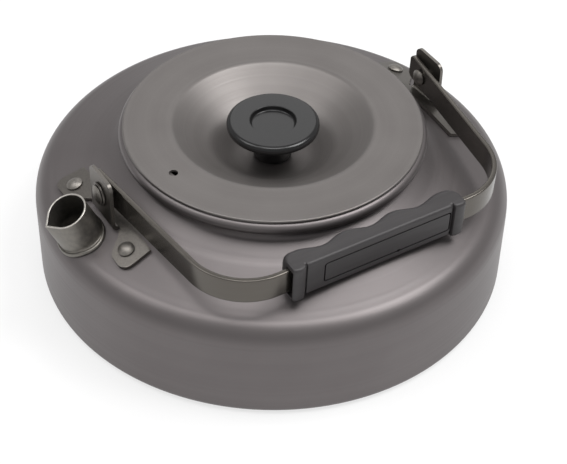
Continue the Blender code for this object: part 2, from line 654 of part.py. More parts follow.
def grip_rings():
    """Sections of the grip from end to end: a rib and a groove at each end of the outer face."""
    rib_start = GRIP_HALF - RIB_LENGTH
    groove_start = rib_start - GROOVE_LENGTH
    ends = [
        (GRIP_HALF, -1.0 * MM, 0.9 * MM),
        (GRIP_HALF - 0.3 * MM, -0.35 * MM, 0.4 * MM),
        (GRIP_HALF - 1.0 * MM, 0.6 * RIB_SWELL, 0.0),
        (GRIP_HALF - 2.0 * MM, RIB_SWELL, 0.0),
        (rib_start + 1.0 * MM, 0.7 * RIB_SWELL, 0.0),
        (rib_start + 0.1 * MM, -0.1 * MM, 0.0),
        (rib_start, -GROOVE_DEPTH, 0.0),
        (groove_start, -GROOVE_DEPTH, 0.0),
        (groove_start - 0.1 * MM, 0.0, 0.0),
    ]
    middle_half = groove_start - 1.2 * MM
    count = 22
    middle = [(middle_half * (1 - 2 * i / count), 0.0, 0.0) for i in range(count + 1)]
    stations = ends + middle + [(-x, swell, shrink) for x, swell, shrink in reversed(ends)]
    return [grip_section(*station) for station in stations]


def box_mesh(name, low, high):
    """A plain box between two corners."""
    bm = bmesh.new()
    bmesh.ops.create_cube(bm, size=1.0)
    low, high = Vector(low), Vector(high)
    size = high - low
    bmesh.ops.scale(bm, vec=size, verts=bm.verts)
    bmesh.ops.translate(bm, vec=(low + high) / 2, verts=bm.verts)
    return mesh_from(bm, name)


def slot_mesh(name):
    """Tunnel through the grip for the strip."""
    across = STRIP_THICKNESS / 2 + GRIP_SLOT_GAP
    up = STRIP_WIDTH / 2 + GRIP_SLOT_GAP
    length = GRIP_HALF + 2 * MM
    return box_mesh(name, (-length, -BAIL_REACH - across, -up), (length, -BAIL_REACH + across, up))


def panel_mesh(name):
    """Shallow recess in the flat outer face of the grip."""
    half_length = GRIP_HALF - RIB_LENGTH - GROOVE_LENGTH - PANEL_MARGIN
    face = -(BAIL_REACH + GRIP_OUTER)
    return box_mesh(name, (-half_length, face - 1 * MM, -PANEL_HEIGHT / 2),
                    (half_length, face + PANEL_RELIEF, PANEL_HEIGHT / 2))


def resting_tilt():
    """Angle by which the folded bail dips, so that its grip just clears the shoulder."""
    rings = grip_rings()

    def clearance(tilt):
        gaps = []
        for x, y, z in itertools.chain.from_iterable(rings):
            world_y = y * math.cos(tilt) - z * math.sin(tilt)
            world_z = PIVOT_HEIGHT + y * math.sin(tilt) + z * math.cos(tilt)
            gaps.append(world_z - shoulder_height(math.hypot(x, world_y)))
        return min(gaps)

    low, high = math.radians(-20), math.radians(30)
    for _ in range(40):
        middle = (low + high) / 2
        if clearance(middle) > BAIL_REST_GAP:
            low = middle
        else:
            high = middle
    return low


SPOUT_AXIS = Vector((-math.cos(SPOUT_ELEVATION), 0, math.sin(SPOUT_ELEVATION)))
SPOUT_DOWN = Vector((-math.sin(SPOUT_ELEVATION), 0, -math.cos(SPOUT_ELEVATION)))
SPOUT_SIDE = Vector((0, 1, 0))
SPOUT_BASE = Vector((-SPOUT_X, 0, shoulder_height(SPOUT_X)))


def lip_radius(angle, wall):
    """Polar outline of the pinched lip about the spout's axis; angle 0 is the pouring point."""
    radius = SPOUT_LIP_RADIUS - wall
    centre = SPOUT_LIP_RADIUS - SPOUT_RADIUS
    tip = SPOUT_RADIUS - 1.25 * wall
    tangent = math.acos(radius / (tip - centre))
    turn = abs((angle + math.pi) % (2 * math.pi) - math.pi)
    touch = math.atan2(radius * math.sin(tangent), centre + radius * math.cos(tangent))
    if turn < touch:
        return (radius + centre * math.cos(tangent)) / math.cos(turn - tangent)
    along = centre * math.cos(turn)
    return along + math.sqrt(radius ** 2 - (centre * math.sin(turn)) ** 2)


def spout_point(radius, angle, above):
    """Point of a line parallel to the spout's axis where it is a given height above the shoulder."""
    start = SPOUT_BASE + (SPOUT_DOWN * math.cos(angle) + SPOUT_SIDE * math.sin(angle)) * radius
    low, high = -0.03, 0.03
    for _ in range(40):
        middle = (low + high) / 2
        point = start + SPOUT_AXIS * middle
        if point.z > shoulder_height(math.hypot(point.x, point.y), above):
            high = middle
        else:
            low = middle
    return start + SPOUT_AXIS * high


def spout_mesh(name):
    """Spout as one closed skin: outside down to the flange, throat, inner roll, and up the bore."""
    angles = [2 * math.pi * i / SPOUT_STEPS for i in range(SPOUT_STEPS)]
    roll_top = -BODY_SHEET - SEAT_GAP
    wall_high = SEAT_GAP + SPOUT_WALL
    bore = SPOUT_THROAT_RADIUS - SPOUT_WALL

    def ring(radius, above):
        return [spout_point(radius, a, above) for a in angles]

    def flange(above):
        width = [SPOUT_FLANGE + (SPOUT_FLANGE_INNER - SPOUT_FLANGE) * max(0.0, -math.cos(a)) ** 2
                 for a in angles]
        return [spout_point(SPOUT_RADIUS + w, a, above) for w, a in zip(width, angles)]

    def rim(wall):
        return [SPOUT_BASE + SPOUT_AXIS * SPOUT_LENGTH
                + (SPOUT_DOWN * math.cos(a) + SPOUT_SIDE * math.sin(a)) * lip_radius(a, wall) for a in angles]

    def between(lower, upper, share):
        return [a.lerp(b, share) for a, b in zip(lower, upper)]

    outer_foot = ring(SPOUT_RADIUS, wall_high + 1.0 * MM)
    bore_foot = ring(SPOUT_RADIUS - SPOUT_WALL, wall_high + 0.6 * MM)
    outer_rim, inner_rim = rim(0.0), rim(SPOUT_WALL)
    rings = [outer_rim, between(outer_foot, outer_rim, 0.66), between(outer_foot, outer_rim, 0.33), outer_foot,
             ring(SPOUT_RADIUS + 0.12 * MM, wall_high + 0.45 * MM),
             ring(SPOUT_RADIUS + 0.4 * MM, wall_high + 0.1 * MM),
             flange(wall_high), flange(SEAT_GAP),
             ring(SPOUT_THROAT_RADIUS, SEAT_GAP), ring(SPOUT_THROAT_RADIUS, roll_top),
             ring(SPOUT_THROAT_RADIUS + SPOUT_ROLL, roll_top),
             ring(SPOUT_THROAT_RADIUS + SPOUT_ROLL, roll_top - SPOUT_WALL),
             ring(bore, roll_top - SPOUT_WALL), ring(bore, 0.0), bore_foot,
             between(bore_foot, inner_rim, 0.33), between(bore_foot, inner_rim, 0.66), inner_rim]
    return loft(rings, name, 40, closed_path=True)


def spout_hole_mesh(name):
    """Round hole along the spout's axis, through the shoulder only."""
    mesh = pin_mesh(name, SPOUT_THROAT_RADIUS + HOLE_GAP, -9 * MM, 9 * MM)
    turn = SPOUT_AXIS.to_track_quat("Z", "Y").to_matrix().to_4x4()
    mesh.transform(Matrix.Translation(SPOUT_BASE) @ turn)
    return mesh


def rivet_holes(places):
    """Pins for the holes of tab rivets at the places, through bracket and body."""
    pins = []
    for x, y in places:
        pin = pin_mesh("rivet_hole", RIVET_RADIUS + HOLE_GAP, -4 * MM, 5 * MM)
        pin.transform(shoulder_matrix(x, y))
        pins.append(pin)
    return pins


def pivot_hole(side):
    """Pin for a hinge hole, through an end of the strip and the ear beside it."""
    pin = pin_mesh("pivot_hole", PIVOT_RADIUS + HOLE_GAP, -4 * MM, 6 * MM)
    pin.transform(pivot_matrix(side))
    return pin


def vent_mesh(name):
    """Pin for the steam hole in the lid's border."""
    mesh = pin_mesh(name, VENT_RADIUS, LID_UNDERSIDE - 1 * MM, LID_TOP + 1 * MM)
    place_x = -VENT_RING_RADIUS * math.cos(VENT_ANGLE)
    place_y = -VENT_RING_RADIUS * math.sin(VENT_ANGLE)
    mesh.transform(Matrix.Translation((place_x, place_y, 0)))
    return mesh


def build_body(finishes):
    """Spun body and spout, fixed to each other."""
    body = place("kettle_body", turned("kettle_body", body_outline(), BODY_STEPS), finishes["anodised"])
    holes = rivet_holes([(x, y) for _, x, y in rivet_places()])
    cut(body, holes + [spout_hole_mesh("spout_hole")])
    place("spout", spout_mesh("spout"), finishes["anodised"])


def build_brackets(finishes):
    """Both brackets with their rivets, and the hinge rivets with their washers."""
    for label, side in (("bracket_spout_side", -1), ("bracket_back_side", 1)):
        bracket = make_bracket(label, side, finishes["steel"])
        cut(bracket, rivet_holes([(x, y) for _, x, y in rivet_places() if x * side > 0]) + [pivot_hole(side)])
    tab_rivet = turned("tab_rivet", tab_rivet_outline(), SMALL_STEPS)
    for label, x, y in rivet_places():
        place("rivet_" + label, tab_rivet, finishes["rivet"], matrix=shoulder_matrix(x, y))
    pivot_rivet = turned("pivot_rivet", pivot_rivet_outline(), SMALL_STEPS)
    washer = turned("pivot_washer", pivot_washer_outline(), SMALL_STEPS, closed=True)
    for label, side in (("spout_side", -1), ("back_side", 1)):
        place("pivot_rivet_" + label, pivot_rivet, finishes["rivet"], matrix=pivot_matrix(side))
        place("pivot_washer_" + label, washer, finishes["steel"], matrix=pivot_matrix(side))


def build_bail(finishes):
    """Strip and grip, which swing about the empty on the hinge axis."""
    hinge = empty("bail_hinge", (0, 0, PIVOT_HEIGHT), resting_tilt())
    strip = place("bail_strip", bail_strip_mesh("bail_strip"), finishes["steel"], hinge)
    cut(strip, [pivot_hole(-1), pivot_hole(1)])
    grip = place("grip", loft(grip_rings(), "grip", 40), finishes["grip"], hinge)
    cut(grip, [slot_mesh("grip_slot"), panel_mesh("grip_panel")], hinge.matrix_world)


def build_lid(finishes):
    """Lid pan, ring, knob and its fixings, which lift off together along Z."""
    lift = empty("lid_lift", (0, 0, 0))
    pan = place("lid_pan", turned("lid_pan", lid_outline(), BODY_STEPS, closed=True), finishes["anodised"], lift)
    cut(pan, [vent_mesh("vent_hole")])
    place("lid_ring", turned("lid_ring", ring_outline(), BODY_STEPS, closed=True), finishes["anodised"], lift)
    place("knob", turned("knob", knob_outline(), KNOB_STEPS), finishes["knob"], lift)
    place("knob_insert", turned("knob_insert", insert_outline(), SMALL_STEPS, closed=True),
          finishes["brass"], lift)
    place("knob_washer", turned("knob_washer", knob_washer_outline(), SMALL_STEPS, closed=True),
          finishes["steel"], lift)
    place("knob_screw", turned("knob_screw", knob_screw_outline(), SMALL_STEPS), finishes["steel"], lift)


def main():
    for thing in list(bpy.data.objects):
        bpy.data.objects.remove(thing)
    finishes = {
        "anodised": material("hard_anodised_aluminium", "#6F6B69", 0.85, 0.42),
        "steel": material("stainless_strip", "#87837A", 0.95, 0.36),
        "rivet": material("aluminium_rivet", "#A19C96", 0.9, 0.35),
        "grip": material("grip_plastic", "#4A484A", 0.0, 0.55),
        "knob": material("knob_bakelite", "#1B1B1C", 0.0, 0.25),
        "brass": material("brass", "#B08D4C", 1.0, 0.35),
    }
    build_body(finishes)
    build_brackets(finishes)
    build_bail(finishes)
    build_lid(finishes)


main()
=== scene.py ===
"""Looks of the camping kettle: fine pieces, finishes, studio and camera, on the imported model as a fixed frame.

Metres, +Z up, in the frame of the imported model: the origin is the centre of the base, the spout points to -X,
and the folded bail lies towards -Y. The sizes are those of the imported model; where the photograph shows more
than the solids hold, such as rounded rims, the grip's grooves and the shoulder's steeper rise to the neck, the
fine pieces have it.
"""

import math

import bmesh
import bpy
from mathutils import Matrix, Vector


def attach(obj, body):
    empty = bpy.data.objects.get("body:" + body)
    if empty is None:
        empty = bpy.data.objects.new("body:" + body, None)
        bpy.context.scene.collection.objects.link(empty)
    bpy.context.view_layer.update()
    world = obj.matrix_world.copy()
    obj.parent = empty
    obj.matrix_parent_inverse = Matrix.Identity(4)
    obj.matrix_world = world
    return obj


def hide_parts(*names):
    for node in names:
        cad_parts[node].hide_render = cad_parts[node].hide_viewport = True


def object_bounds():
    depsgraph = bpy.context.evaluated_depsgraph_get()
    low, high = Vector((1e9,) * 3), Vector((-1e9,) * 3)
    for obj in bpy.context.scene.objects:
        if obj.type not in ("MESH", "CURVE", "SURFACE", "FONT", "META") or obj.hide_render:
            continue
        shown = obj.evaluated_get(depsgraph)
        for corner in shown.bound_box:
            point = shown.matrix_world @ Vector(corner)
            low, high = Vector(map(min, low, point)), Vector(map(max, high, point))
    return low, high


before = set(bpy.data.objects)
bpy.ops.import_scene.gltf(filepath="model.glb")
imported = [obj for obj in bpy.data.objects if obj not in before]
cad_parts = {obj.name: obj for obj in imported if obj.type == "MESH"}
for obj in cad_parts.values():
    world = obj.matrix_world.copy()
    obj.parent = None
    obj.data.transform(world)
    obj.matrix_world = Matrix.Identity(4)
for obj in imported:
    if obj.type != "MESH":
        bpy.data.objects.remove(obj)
cad_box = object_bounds()

MM = 0.001
SEAT_GAP = 0.25 * MM
HOLE_GAP = 0.3 * MM
FILL_STEP = 4.0 * MM
FINE_FILL_STEP = 3.0 * MM

# Spun shell
BODY_RADIUS = 80.0 * MM
SHEET = 1.0 * MM
BASE_FILLET = 3.0 * MM
WALL_HEIGHT = 28.0 * MM
SHOULDER_FILLET = 8.6 * MM
SHOULDER_SLOPE = math.radians(18.0)
NECK_BORE = 47.0 * MM
NECK_FILLET = 2.7 * MM
NECK_STRAIGHT = 3.0 * MM
BEAD_RADIUS = 2.1 * MM
RISE_START = 57.3 * MM    # from here inwards the shoulder steepens, as in the photograph
RISE_SLOPE = math.radians(32.0)
RISE_SWEEP = 15.0 * MM

# Lid pan, ring and vent
LID_SHEET = 0.8 * MM
LID_RADIUS = 49.8 * MM
LID_EDGE_ROUND = 0.55 * MM
DISH_RADIUS = 34.5 * MM
DISH_DEPTH = 13.5 * MM
DISH_EDGE_ROUND = 3.2 * MM
BORDER_START = 34.9 * MM
DISH_FLOOR_ROUND = 14.0 * MM
DISH_FLOOR_RADIUS = 9.0 * MM
SCREW_HOLE = 2.3 * MM
RING_SHEET = 0.7 * MM
RING_RADIUS = 46.4 * MM
RING_DEPTH = 7.0 * MM
RING_FLANGE = 5.0 * MM
RING_BEND = 0.6 * MM
VENT_RADIUS = 1.5 * MM
VENT_REACH = 41.6 * MM
VENT_ANGLE = math.radians(9.3)

# Knob
KNOB_RADIUS = 15.5 * MM
KNOB_RIM = 3.2 * MM
KNOB_HEIGHT = 13.9 * MM
KNOB_TOP_ROUND = 1.6 * MM
KNOB_UNDER_ROUND = 1.5 * MM
KNOB_FACE_RADIUS = 13.6 * MM
KNOB_FOOT_RADIUS = 6.4 * MM
KNOB_FOOT_ROUND = 0.4 * MM
KNOB_STEM_RADIUS = 8.0 * MM
KNOB_FLARE = 2.2 * MM
KNOB_RECESS_RADIUS = 7.6 * MM
KNOB_RECESS_DEPTH = 1.5 * MM
KNOB_RECESS_EDGE = 0.35 * MM
KNOB_RECESS_DRAFT = 0.3 * MM
KNOB_RECESS_ROUND = 0.5 * MM
INSERT_BORE = 3.65 * MM
INSERT_BORE_DEPTH = 7.5 * MM

# Spout
SPOUT_X = 71.474 * MM
SPOUT_RADIUS = 7.5 * MM
SPOUT_LIP_RADIUS = 6.7 * MM
SPOUT_THROAT_RADIUS = 6.2 * MM
SPOUT_WALL = 0.9 * MM
SPOUT_RIM = 0.65 * MM
SPOUT_ELEVATION = math.radians(66.0)
SPOUT_LENGTH = 12.5 * MM
SPOUT_FLANGE = 0.9 * MM
SPOUT_FLANGE_SIDE = 1.8 * MM
SPOUT_FLANGE_INNER = 0.3 * MM
SPOUT_ROLL = 1.0 * MM
SPOUT_FOOT_RISE = 1.1 * MM
SPOUT_BORE_RISE = 0.6 * MM
LIP_THICKENING = 1.25     # of the wall at the pouring point
# Bead of the flange from the tube outwards: share of the flange's width, and height over its wall in mm
SPOUT_BEAD = ((0.02, 0.55), (0.06, 0.2), (0.14, -0.05), (0.24, -0.18), (0.34, -0.16), (0.46, -0.02), (0.6, 0.06),
              (0.74, 0.04), (0.86, -0.08), (0.95, -0.25), (1.0, -0.45))
SPOUT_RIM_DROP = 0.2 * MM
# Points that round the cut rim, from the bore outwards: inset from the outside and drop, in mm
SPOUT_RIM_ROUND = ((0.6, 0.07), (0.48, 0.0), (0.18, 0.0), (0.05, 0.07))

# Brackets and their rivets
BRACKET_SHEET = 1.1 * MM
BEND_OUTSIDE = 1.9 * MM
EAR_OUTER = 63.752 * MM
FOOT_EDGE = 57.552 * MM
FOOT_FRONT = 22.0 * MM
FOOT_REAR = 25.0 * MM
TAB_REACH = 4.5 * MM
TAB_CORNER = 3.6 * MM
TAB_FAN = 0.33
TAB_FLARE = 7.04 * MM
NOTCH_INSET = 1.6 * MM
EAR_HALF_WIDTH = 7.0 * MM
EAR_RELIEF = 1.4 * MM
EAR_TOP = 58.284 * MM
EAR_CORNER = 2.6 * MM
BRACKET_EDGE = 0.28 * MM
RIVET_X = 63.452 * MM
RIVET_FRONT = -16.8 * MM
RIVET_REAR = 19.8 * MM
RIVET_RADIUS = 1.5 * MM
RIVET_HEAD_RADIUS = 2.7 * MM
RIVET_HEAD_HEIGHT = 1.3 * MM
RIVET_HEAD_EDGE = 0.25 * MM
RIVET_TAIL_RADIUS = 2.5 * MM
RIVET_TAIL_HEIGHT = 0.9 * MM
RIVET_TAIL_CHAMFER = 0.3 * MM

# Bail strip and its hinge rivets
PIVOT_SPAN = 60.5 * MM
PIVOT_HEIGHT = 50.684 * MM
BAIL_TILT = math.radians(2.378)
BAIL_TAPER = math.radians(7.0)
BAIL_BEND = 20.0 * MM
BAIL_REACH = 61.4 * MM
BAR_HALF = 35.267 * MM
STRIP_WIDTH = 9.2 * MM
STRIP_THICKNESS = 1.8 * MM
STRIP_TAIL = 7.7 * MM
STRIP_CORNER = 2.2 * MM
STRIP_EDGE = 0.5 * MM
PIVOT_RADIUS = 1.9 * MM
PIVOT_HEAD_RADIUS = 3.3 * MM
PIVOT_HEAD_HEIGHT = 1.1 * MM
PIVOT_HEAD_EDGE = 0.2 * MM
PIVOT_DOME_RADIUS = 2.8 * MM
PIVOT_DOME_HEIGHT = 1.5 * MM
PIVOT_WASHER_RADIUS = 4.0 * MM
PIVOT_WASHER_SHEET = 0.6 * MM
PIVOT_WASHER_CHAMFER = 0.12 * MM

# Grip
GRIP_HALF = 31.767 * MM
GRIP_HEIGHT = 13.0 * MM
GRIP_OUTER = 2.8 * MM
GRIP_INNER = 6.0 * MM
GRIP_OUTER_ROUND = 1.1 * MM
GRIP_INNER_ROUND = 3.0 * MM
GRIP_CORNER = 3.6 * MM
FINGER_DEPTH = 2.0 * MM
FINGER_MIDDLE = 17.6 * MM
FINGER_LAND = 5.2 * MM
RIB_LENGTH = 4.4 * MM
RIB_SWELL = 0.9 * MM
RIB_DROP = 0.7 * MM
GROOVE_LENGTH = 0.7 * MM
GROOVE_DEPTH = 0.6 * MM
GROOVE_EDGE = 0.08 * MM
GROOVE_FADE = 0.25 * MM
RIB_SHARES = (0.16, 0.28, 0.4, 0.5, 0.6, 0.72, 0.84, 0.93)
# Each end of the grip, from its end face inwards: inset, swell and shrink in mm, and share of the rib's drop
GRIP_END = ((0.0, 0.0, 0.55, 0.0), (0.06, 0.12, 0.32, 0.3), (0.2, 0.3, 0.12, 0.7))
POCKET_DEPTH = 2.6 * MM
POCKET_REACH = 2.6 * MM
POCKET_TOP = 4.9 * MM
POCKET_BOTTOM = -5.6 * MM
PANEL_START = -20.3 * MM
PANEL_END = 26.3 * MM
PANEL_HALF_HEIGHT = 3.75 * MM
PANEL_CORNER = 0.9 * MM
PANEL_LINE_DEPTH = 1.0 * MM
PANEL_LINE_OUTSIDE = 0.27 * MM
PANEL_LINE_INSIDE = 0.22 * MM
GATE_X = 7.1 * MM
GATE_RADIUS = 0.6 * MM
GATE_DEPTH = 1.2 * MM

ROUND_STEPS = 144
KNOB_STEPS = 96
SPOUT_STEPS = 96
SMALL_STEPS = 48

# How far each kind of hole is cut, below and above its surface
THROAT_CUT = (-9.0 * MM, 9.0 * MM)
VENT_CUT = (-3.0 * MM, 2.0 * MM)
RIVET_CUT = (-4.0 * MM, 5.0 * MM)
HINGE_CUT = (-4.0 * MM, 6.0 * MM)
PAST_END = 2.0 * MM
PAST_FACE = 1.0 * MM

# Places that follow from the sizes above
FILLET_AXIS = BODY_RADIUS - SHOULDER_FILLET
CONE_RADIUS = FILLET_AXIS + SHOULDER_FILLET * math.sin(SHOULDER_SLOPE)
CONE_HEIGHT = WALL_HEIGHT + SHOULDER_FILLET * math.cos(SHOULDER_SLOPE)


def shoulder_height(radius, offset=0.0):
    """Height of the shoulder's outer surface, or of a surface that lies offset above it."""
    fillet = SHOULDER_FILLET + offset
    if radius <= FILLET_AXIS + fillet * math.sin(SHOULDER_SLOPE):
        return CONE_HEIGHT + (CONE_RADIUS - radius) * math.tan(SHOULDER_SLOPE) + offset / math.cos(SHOULDER_SLOPE)
    drop = fillet ** 2 - (radius - FILLET_AXIS) ** 2
    if drop >= 0:
        return WALL_HEIGHT + math.sqrt(drop)
    return WALL_HEIGHT - 10 * (radius - FILLET_AXIS - fillet)


NECK_AXIS = NECK_BORE + SHEET + NECK_FILLET
NECK_FILLET_HEIGHT = shoulder_height(NECK_AXIS) + NECK_FILLET / math.cos(SHOULDER_SLOPE)
BEAD_HEIGHT = NECK_FILLET_HEIGHT + NECK_STRAIGHT + math.sqrt(BEAD_RADIUS ** 2 - (BEAD_RADIUS - SHEET) ** 2)
LID_UNDERSIDE = BEAD_HEIGHT + BEAD_RADIUS + SEAT_GAP
LID_TOP = LID_UNDERSIDE + LID_SHEET
DISH_FLOOR = LID_TOP - DISH_DEPTH
BAIL_PLACE = Matrix.Translation((0, 0, PIVOT_HEIGHT)) @ Matrix.Rotation(BAIL_TILT, 4, "X")
SPOUT_AXIS = Vector((-math.cos(SPOUT_ELEVATION), 0, math.sin(SPOUT_ELEVATION)))
SPOUT_DOWN = Vector((-math.sin(SPOUT_ELEVATION), 0, -math.cos(SPOUT_ELEVATION)))
SPOUT_SIDE = Vector((0, 1, 0))
SPOUT_BASE = Vector((-SPOUT_X, 0, shoulder_height(SPOUT_X)))

# Studio: how bright the room and the floor's own glow are, the floor's half width, and the soft lamps' size and
# aim, with each lamp's place and watts
ROOM_LIGHT = 0.51
FLOOR_GLOW = 0.7
FLOOR_HALF = 3.0
LAMP_SIZE = 0.6
LAMP_AIM = Vector((0.0, 0.0, 0.03))
LAMPS = (
    ("overhead_softbox", (-0.072, -0.115, 1.32), 4.9),
    ("right_softbox", (0.555, -0.339, 1.156), 9.3),
    ("left_softbox", (-0.555, 0.339, 1.156), 3.6),
    ("back_softbox", (0.562, 0.905, 0.776), 1.2),
)

# Camera: its place, its lens in mm, and the directions of its right side and its view
CAMERA_PLACE = (-0.2195, -0.3535, 0.3813)
CAMERA_LENS = 101.4
CAMERA_RIGHT = (0.8531, -0.5215, 0.0194)
CAMERA_AHEAD = (0.3981, 0.6263, -0.6703)


def srgb(hex_colour):
    """An sRGB hex colour as linear RGBA."""
    channels = [int(hex_colour[i:i + 2], 16) / 255 for i in (1, 3, 5)]
    return (*[c / 12.92 if c <= 0.04045 else ((c + 0.055) / 1.055) ** 2.4 for c in channels], 1.0)


def add(tree, kind, values=None, links=None, **settings):
    """Add a node: settings are its properties, values its constants, links the sockets that feed it."""
    made = tree.nodes.new("ShaderNode" + kind)
    for name, value in settings.items():
        setattr(made, name, value)
    for socket, value in (values or {}).items():
        made.inputs[socket].default_value = value
    for socket, source in (links or {}).items():
        tree.links.new(source, made.inputs[socket])
    return made


def finish(name, colour, metallic, roughness, ior=None):
    """A new Principled finish with its constants on the shader's own sockets."""
    made = bpy.data.materials.new(name)
    made.use_nodes = True
    tree = made.node_tree
    shader = tree.nodes["Principled BSDF"]
    shader.inputs["Base Color"].default_value = srgb(colour)
    shader.inputs["Metallic"].default_value = metallic
    shader.inputs["Roughness"].default_value = roughness
    if ior:
        shader.inputs["IOR"].default_value = ior
    return made, tree, shader


def lead_patterns(tree, shader, colours, tone, relief, sheen=None):
    """Lead patterns into a finish: tone blends its two colours, relief raises it, sheen varies its roughness.

    Each is a pattern and two values: the pattern's levels for the dark and the light colour, the strength and
    height of the relief, and the least and greatest roughness.
    """
    pattern, low, high = tone
    share = add(tree, "MapRange", values={1: low, 2: high}, links={0: pattern})
    blend = add(tree, "Mix", values={6: srgb(colours[0]), 7: srgb(colours[1])}, links={0: share.outputs[0]},
                data_type="RGBA")
    tree.links.new(blend.outputs[2], shader.inputs["Base Color"])
    if sheen:
        pattern, least, most = sheen
        wear = add(tree, "MapRange", values={1: 0.3, 2: 0.7, 3: least, 4: most}, links={0: pattern})
        tree.links.new(wear.outputs[0], shader.inputs["Roughness"])
    pattern, strength, height = relief
    bump = add(tree, "Bump", values={"Strength": strength, "Distance": height}, links={"Height": pattern})
    tree.links.new(bump.outputs[0], shader.inputs["Normal"])


def lathe_distance(tree, place):
    """Distance along a spun section: radius plus height, so marks run round the axis on wall and lid alike."""
    parts = add(tree, "SeparateXYZ", links={0: place})
    flat = add(tree, "CombineXYZ", links={0: parts.outputs[0], 1: parts.outputs[1]})
    radius = add(tree, "VectorMath", links={0: flat.outputs[0]}, operation="LENGTH")
    total = add(tree, "Math", links={0: radius.outputs["Value"], 1: parts.outputs[2]}, operation="ADD")
    return total.outputs[0]


def spun_anodised(name, dark, light, roughness):
    """Hard-anodised aluminium that was spun on a lathe: satin, warm grey, with faint rings round the axis.

    The real tool marks are 0.2 to 0.3 mm apart; they are drawn 0.9 mm apart so that they show.
    """
    made, tree, shader = finish(name, light, 0.75, roughness)
    place = add(tree, "TexCoord").outputs["Object"]
    along = lathe_distance(tree, place)
    rings = add(tree, "TexNoise", values={"Scale": 1 / (0.9 * MM), "Detail": 1.5}, links={"W": along},
                noise_dimensions="1D")
    bands = add(tree, "TexNoise", values={"Scale": 1 / (9 * MM), "Detail": 2.0}, links={"W": along},
                noise_dimensions="1D")
    cloud = add(tree, "TexNoise", values={"Scale": 1 / (24 * MM), "Detail": 3.0}, links={"Vector": place})
    both = add(tree, "Math", links={0: bands.outputs[0], 1: cloud.outputs[0]}, operation="ADD")
    grain = add(tree, "TexNoise", values={"Scale": 1 / (0.5 * MM), "Detail": 1.0}, links={"Vector": place})
    faint = add(tree, "Math", values={1: 0.35}, links={0: grain.outputs[0]}, operation="MULTIPLY")
    height = add(tree, "Math", links={0: faint.outputs[0], 1: rings.outputs[0]}, operation="ADD")
    lead_patterns(tree, shader, (dark, light), tone=(both.outputs[0], 0.75, 1.25),
                  relief=(height.outputs[0], 0.12, 0.02 * MM),
                  sheen=(rings.outputs[0], roughness - 0.03, roughness + 0.03))
    return made


def rolled_strip(name, dark, light, roughness):
    """Stainless strip, rolled and brushed along its length: satin, with fine lines that follow the bar.

    The real lines are under 0.1 mm apart; they are drawn 1.1 mm apart and about 80 mm long so that they show.
    """
    made, tree, shader = finish(name, light, 0.9, roughness)
    place = add(tree, "TexCoord").outputs["Object"]
    stretch = add(tree, "Mapping", values={"Scale": (12, 12, 900)}, links={"Vector": place})
    lines = add(tree, "TexNoise", values={"Scale": 1.0, "Detail": 2.0}, links={"Vector": stretch.outputs[0]})
    lead_patterns(tree, shader, (dark, light), tone=(lines.outputs[0], 0.3, 0.7),
                  relief=(lines.outputs[0], 0.04, 0.02 * MM),
                  sheen=(lines.outputs[0], roughness - 0.02, roughness + 0.03))
    return made


def tumbled_metal(name, dark, light, roughness, grain=0.6):
    """Metal that was pressed and tumbled: even and satin, with small soft marks.

    The real marks are 0.1 to 0.2 mm wide; they are drawn 0.5 to 1.5 mm wide so that they show.
    """
    made, tree, shader = finish(name, light, 0.9, roughness)
    place = add(tree, "TexCoord").outputs["Object"]
    marks = add(tree, "TexNoise", values={"Scale": 1 / (grain * MM), "Detail": 2.0}, links={"Vector": place})
    lead_patterns(tree, shader, (dark, light), tone=(marks.outputs[0], 0.35, 0.65),
                  relief=(marks.outputs[0], 0.1, 0.02 * MM),
                  sheen=(marks.outputs[0], roughness - 0.05, roughness + 0.05))
    return made


def moulded_nylon(name, dark, light):
    """Glass-filled nylon from a spark-eroded mould: matt, fine-grained, with faint flow lines lengthwise.

    The flow lines are 2 mm apart and 17 mm long. The mould's grain is 0.1 mm; it is drawn 0.45 mm wide.
    """
    made, tree, shader = finish(name, light, 0.0, 0.5, ior=1.53)
    place = add(tree, "TexCoord").outputs["Object"]
    stretch = add(tree, "Mapping", values={"Scale": (60, 500, 500)}, links={"Vector": place})
    flow = add(tree, "TexNoise", values={"Scale": 1.0, "Detail": 3.0}, links={"Vector": stretch.outputs[0]})
    grain = add(tree, "TexNoise", values={"Scale": 1 / (0.45 * MM), "Detail": 2.0}, links={"Vector": place})
    lead_patterns(tree, shader, (dark, light), tone=(flow.outputs[0], 0.3, 0.7),
                  relief=(grain.outputs[0], 0.25, 0.04 * MM))
    return made


def pressed_phenolic(name, dark, light):
    """Phenolic resin pressed in a polished mould: near black, semi-gloss, with faint clouding 6 mm wide."""
    made, tree, shader = finish(name, dark, 0.0, 0.2, ior=1.46)
    place = add(tree, "TexCoord").outputs["Object"]
    cloud = add(tree, "TexNoise", values={"Scale": 1 / (6 * MM), "Detail": 3.0}, links={"Vector": place})
    grain = add(tree, "TexNoise", values={"Scale": 1 / (0.5 * MM), "Detail": 1.0}, links={"Vector": place})
    lead_patterns(tree, shader, (dark, light), tone=(cloud.outputs[0], 0.3, 0.7),
                  relief=(grain.outputs[0], 0.06, 0.02 * MM), sheen=(cloud.outputs[0], 0.18, 0.22))
    return made


def arc(centre, radius, start, end, steps):
    """Points of an arc in the (radius, height) plane, angles in degrees."""
    angles = [math.radians(start + (end - start) * i / steps) for i in range(steps + 1)]
    return [(centre[0] + radius * math.cos(a), centre[1] + radius * math.sin(a)) for a in angles]


def filled(outline, step):
    """The outline with extra points, so that no stretch of it is longer than a step."""
    points = [outline[0]]
    for start, end in zip(outline, outline[1:]):
        count = max(1, math.ceil(math.dist(start, end) / step))
        points += [(start[0] + (end[0] - start[0]) * i / count, start[1] + (end[1] - start[1]) * i / count)
                   for i in range(1, count + 1)]
    return points


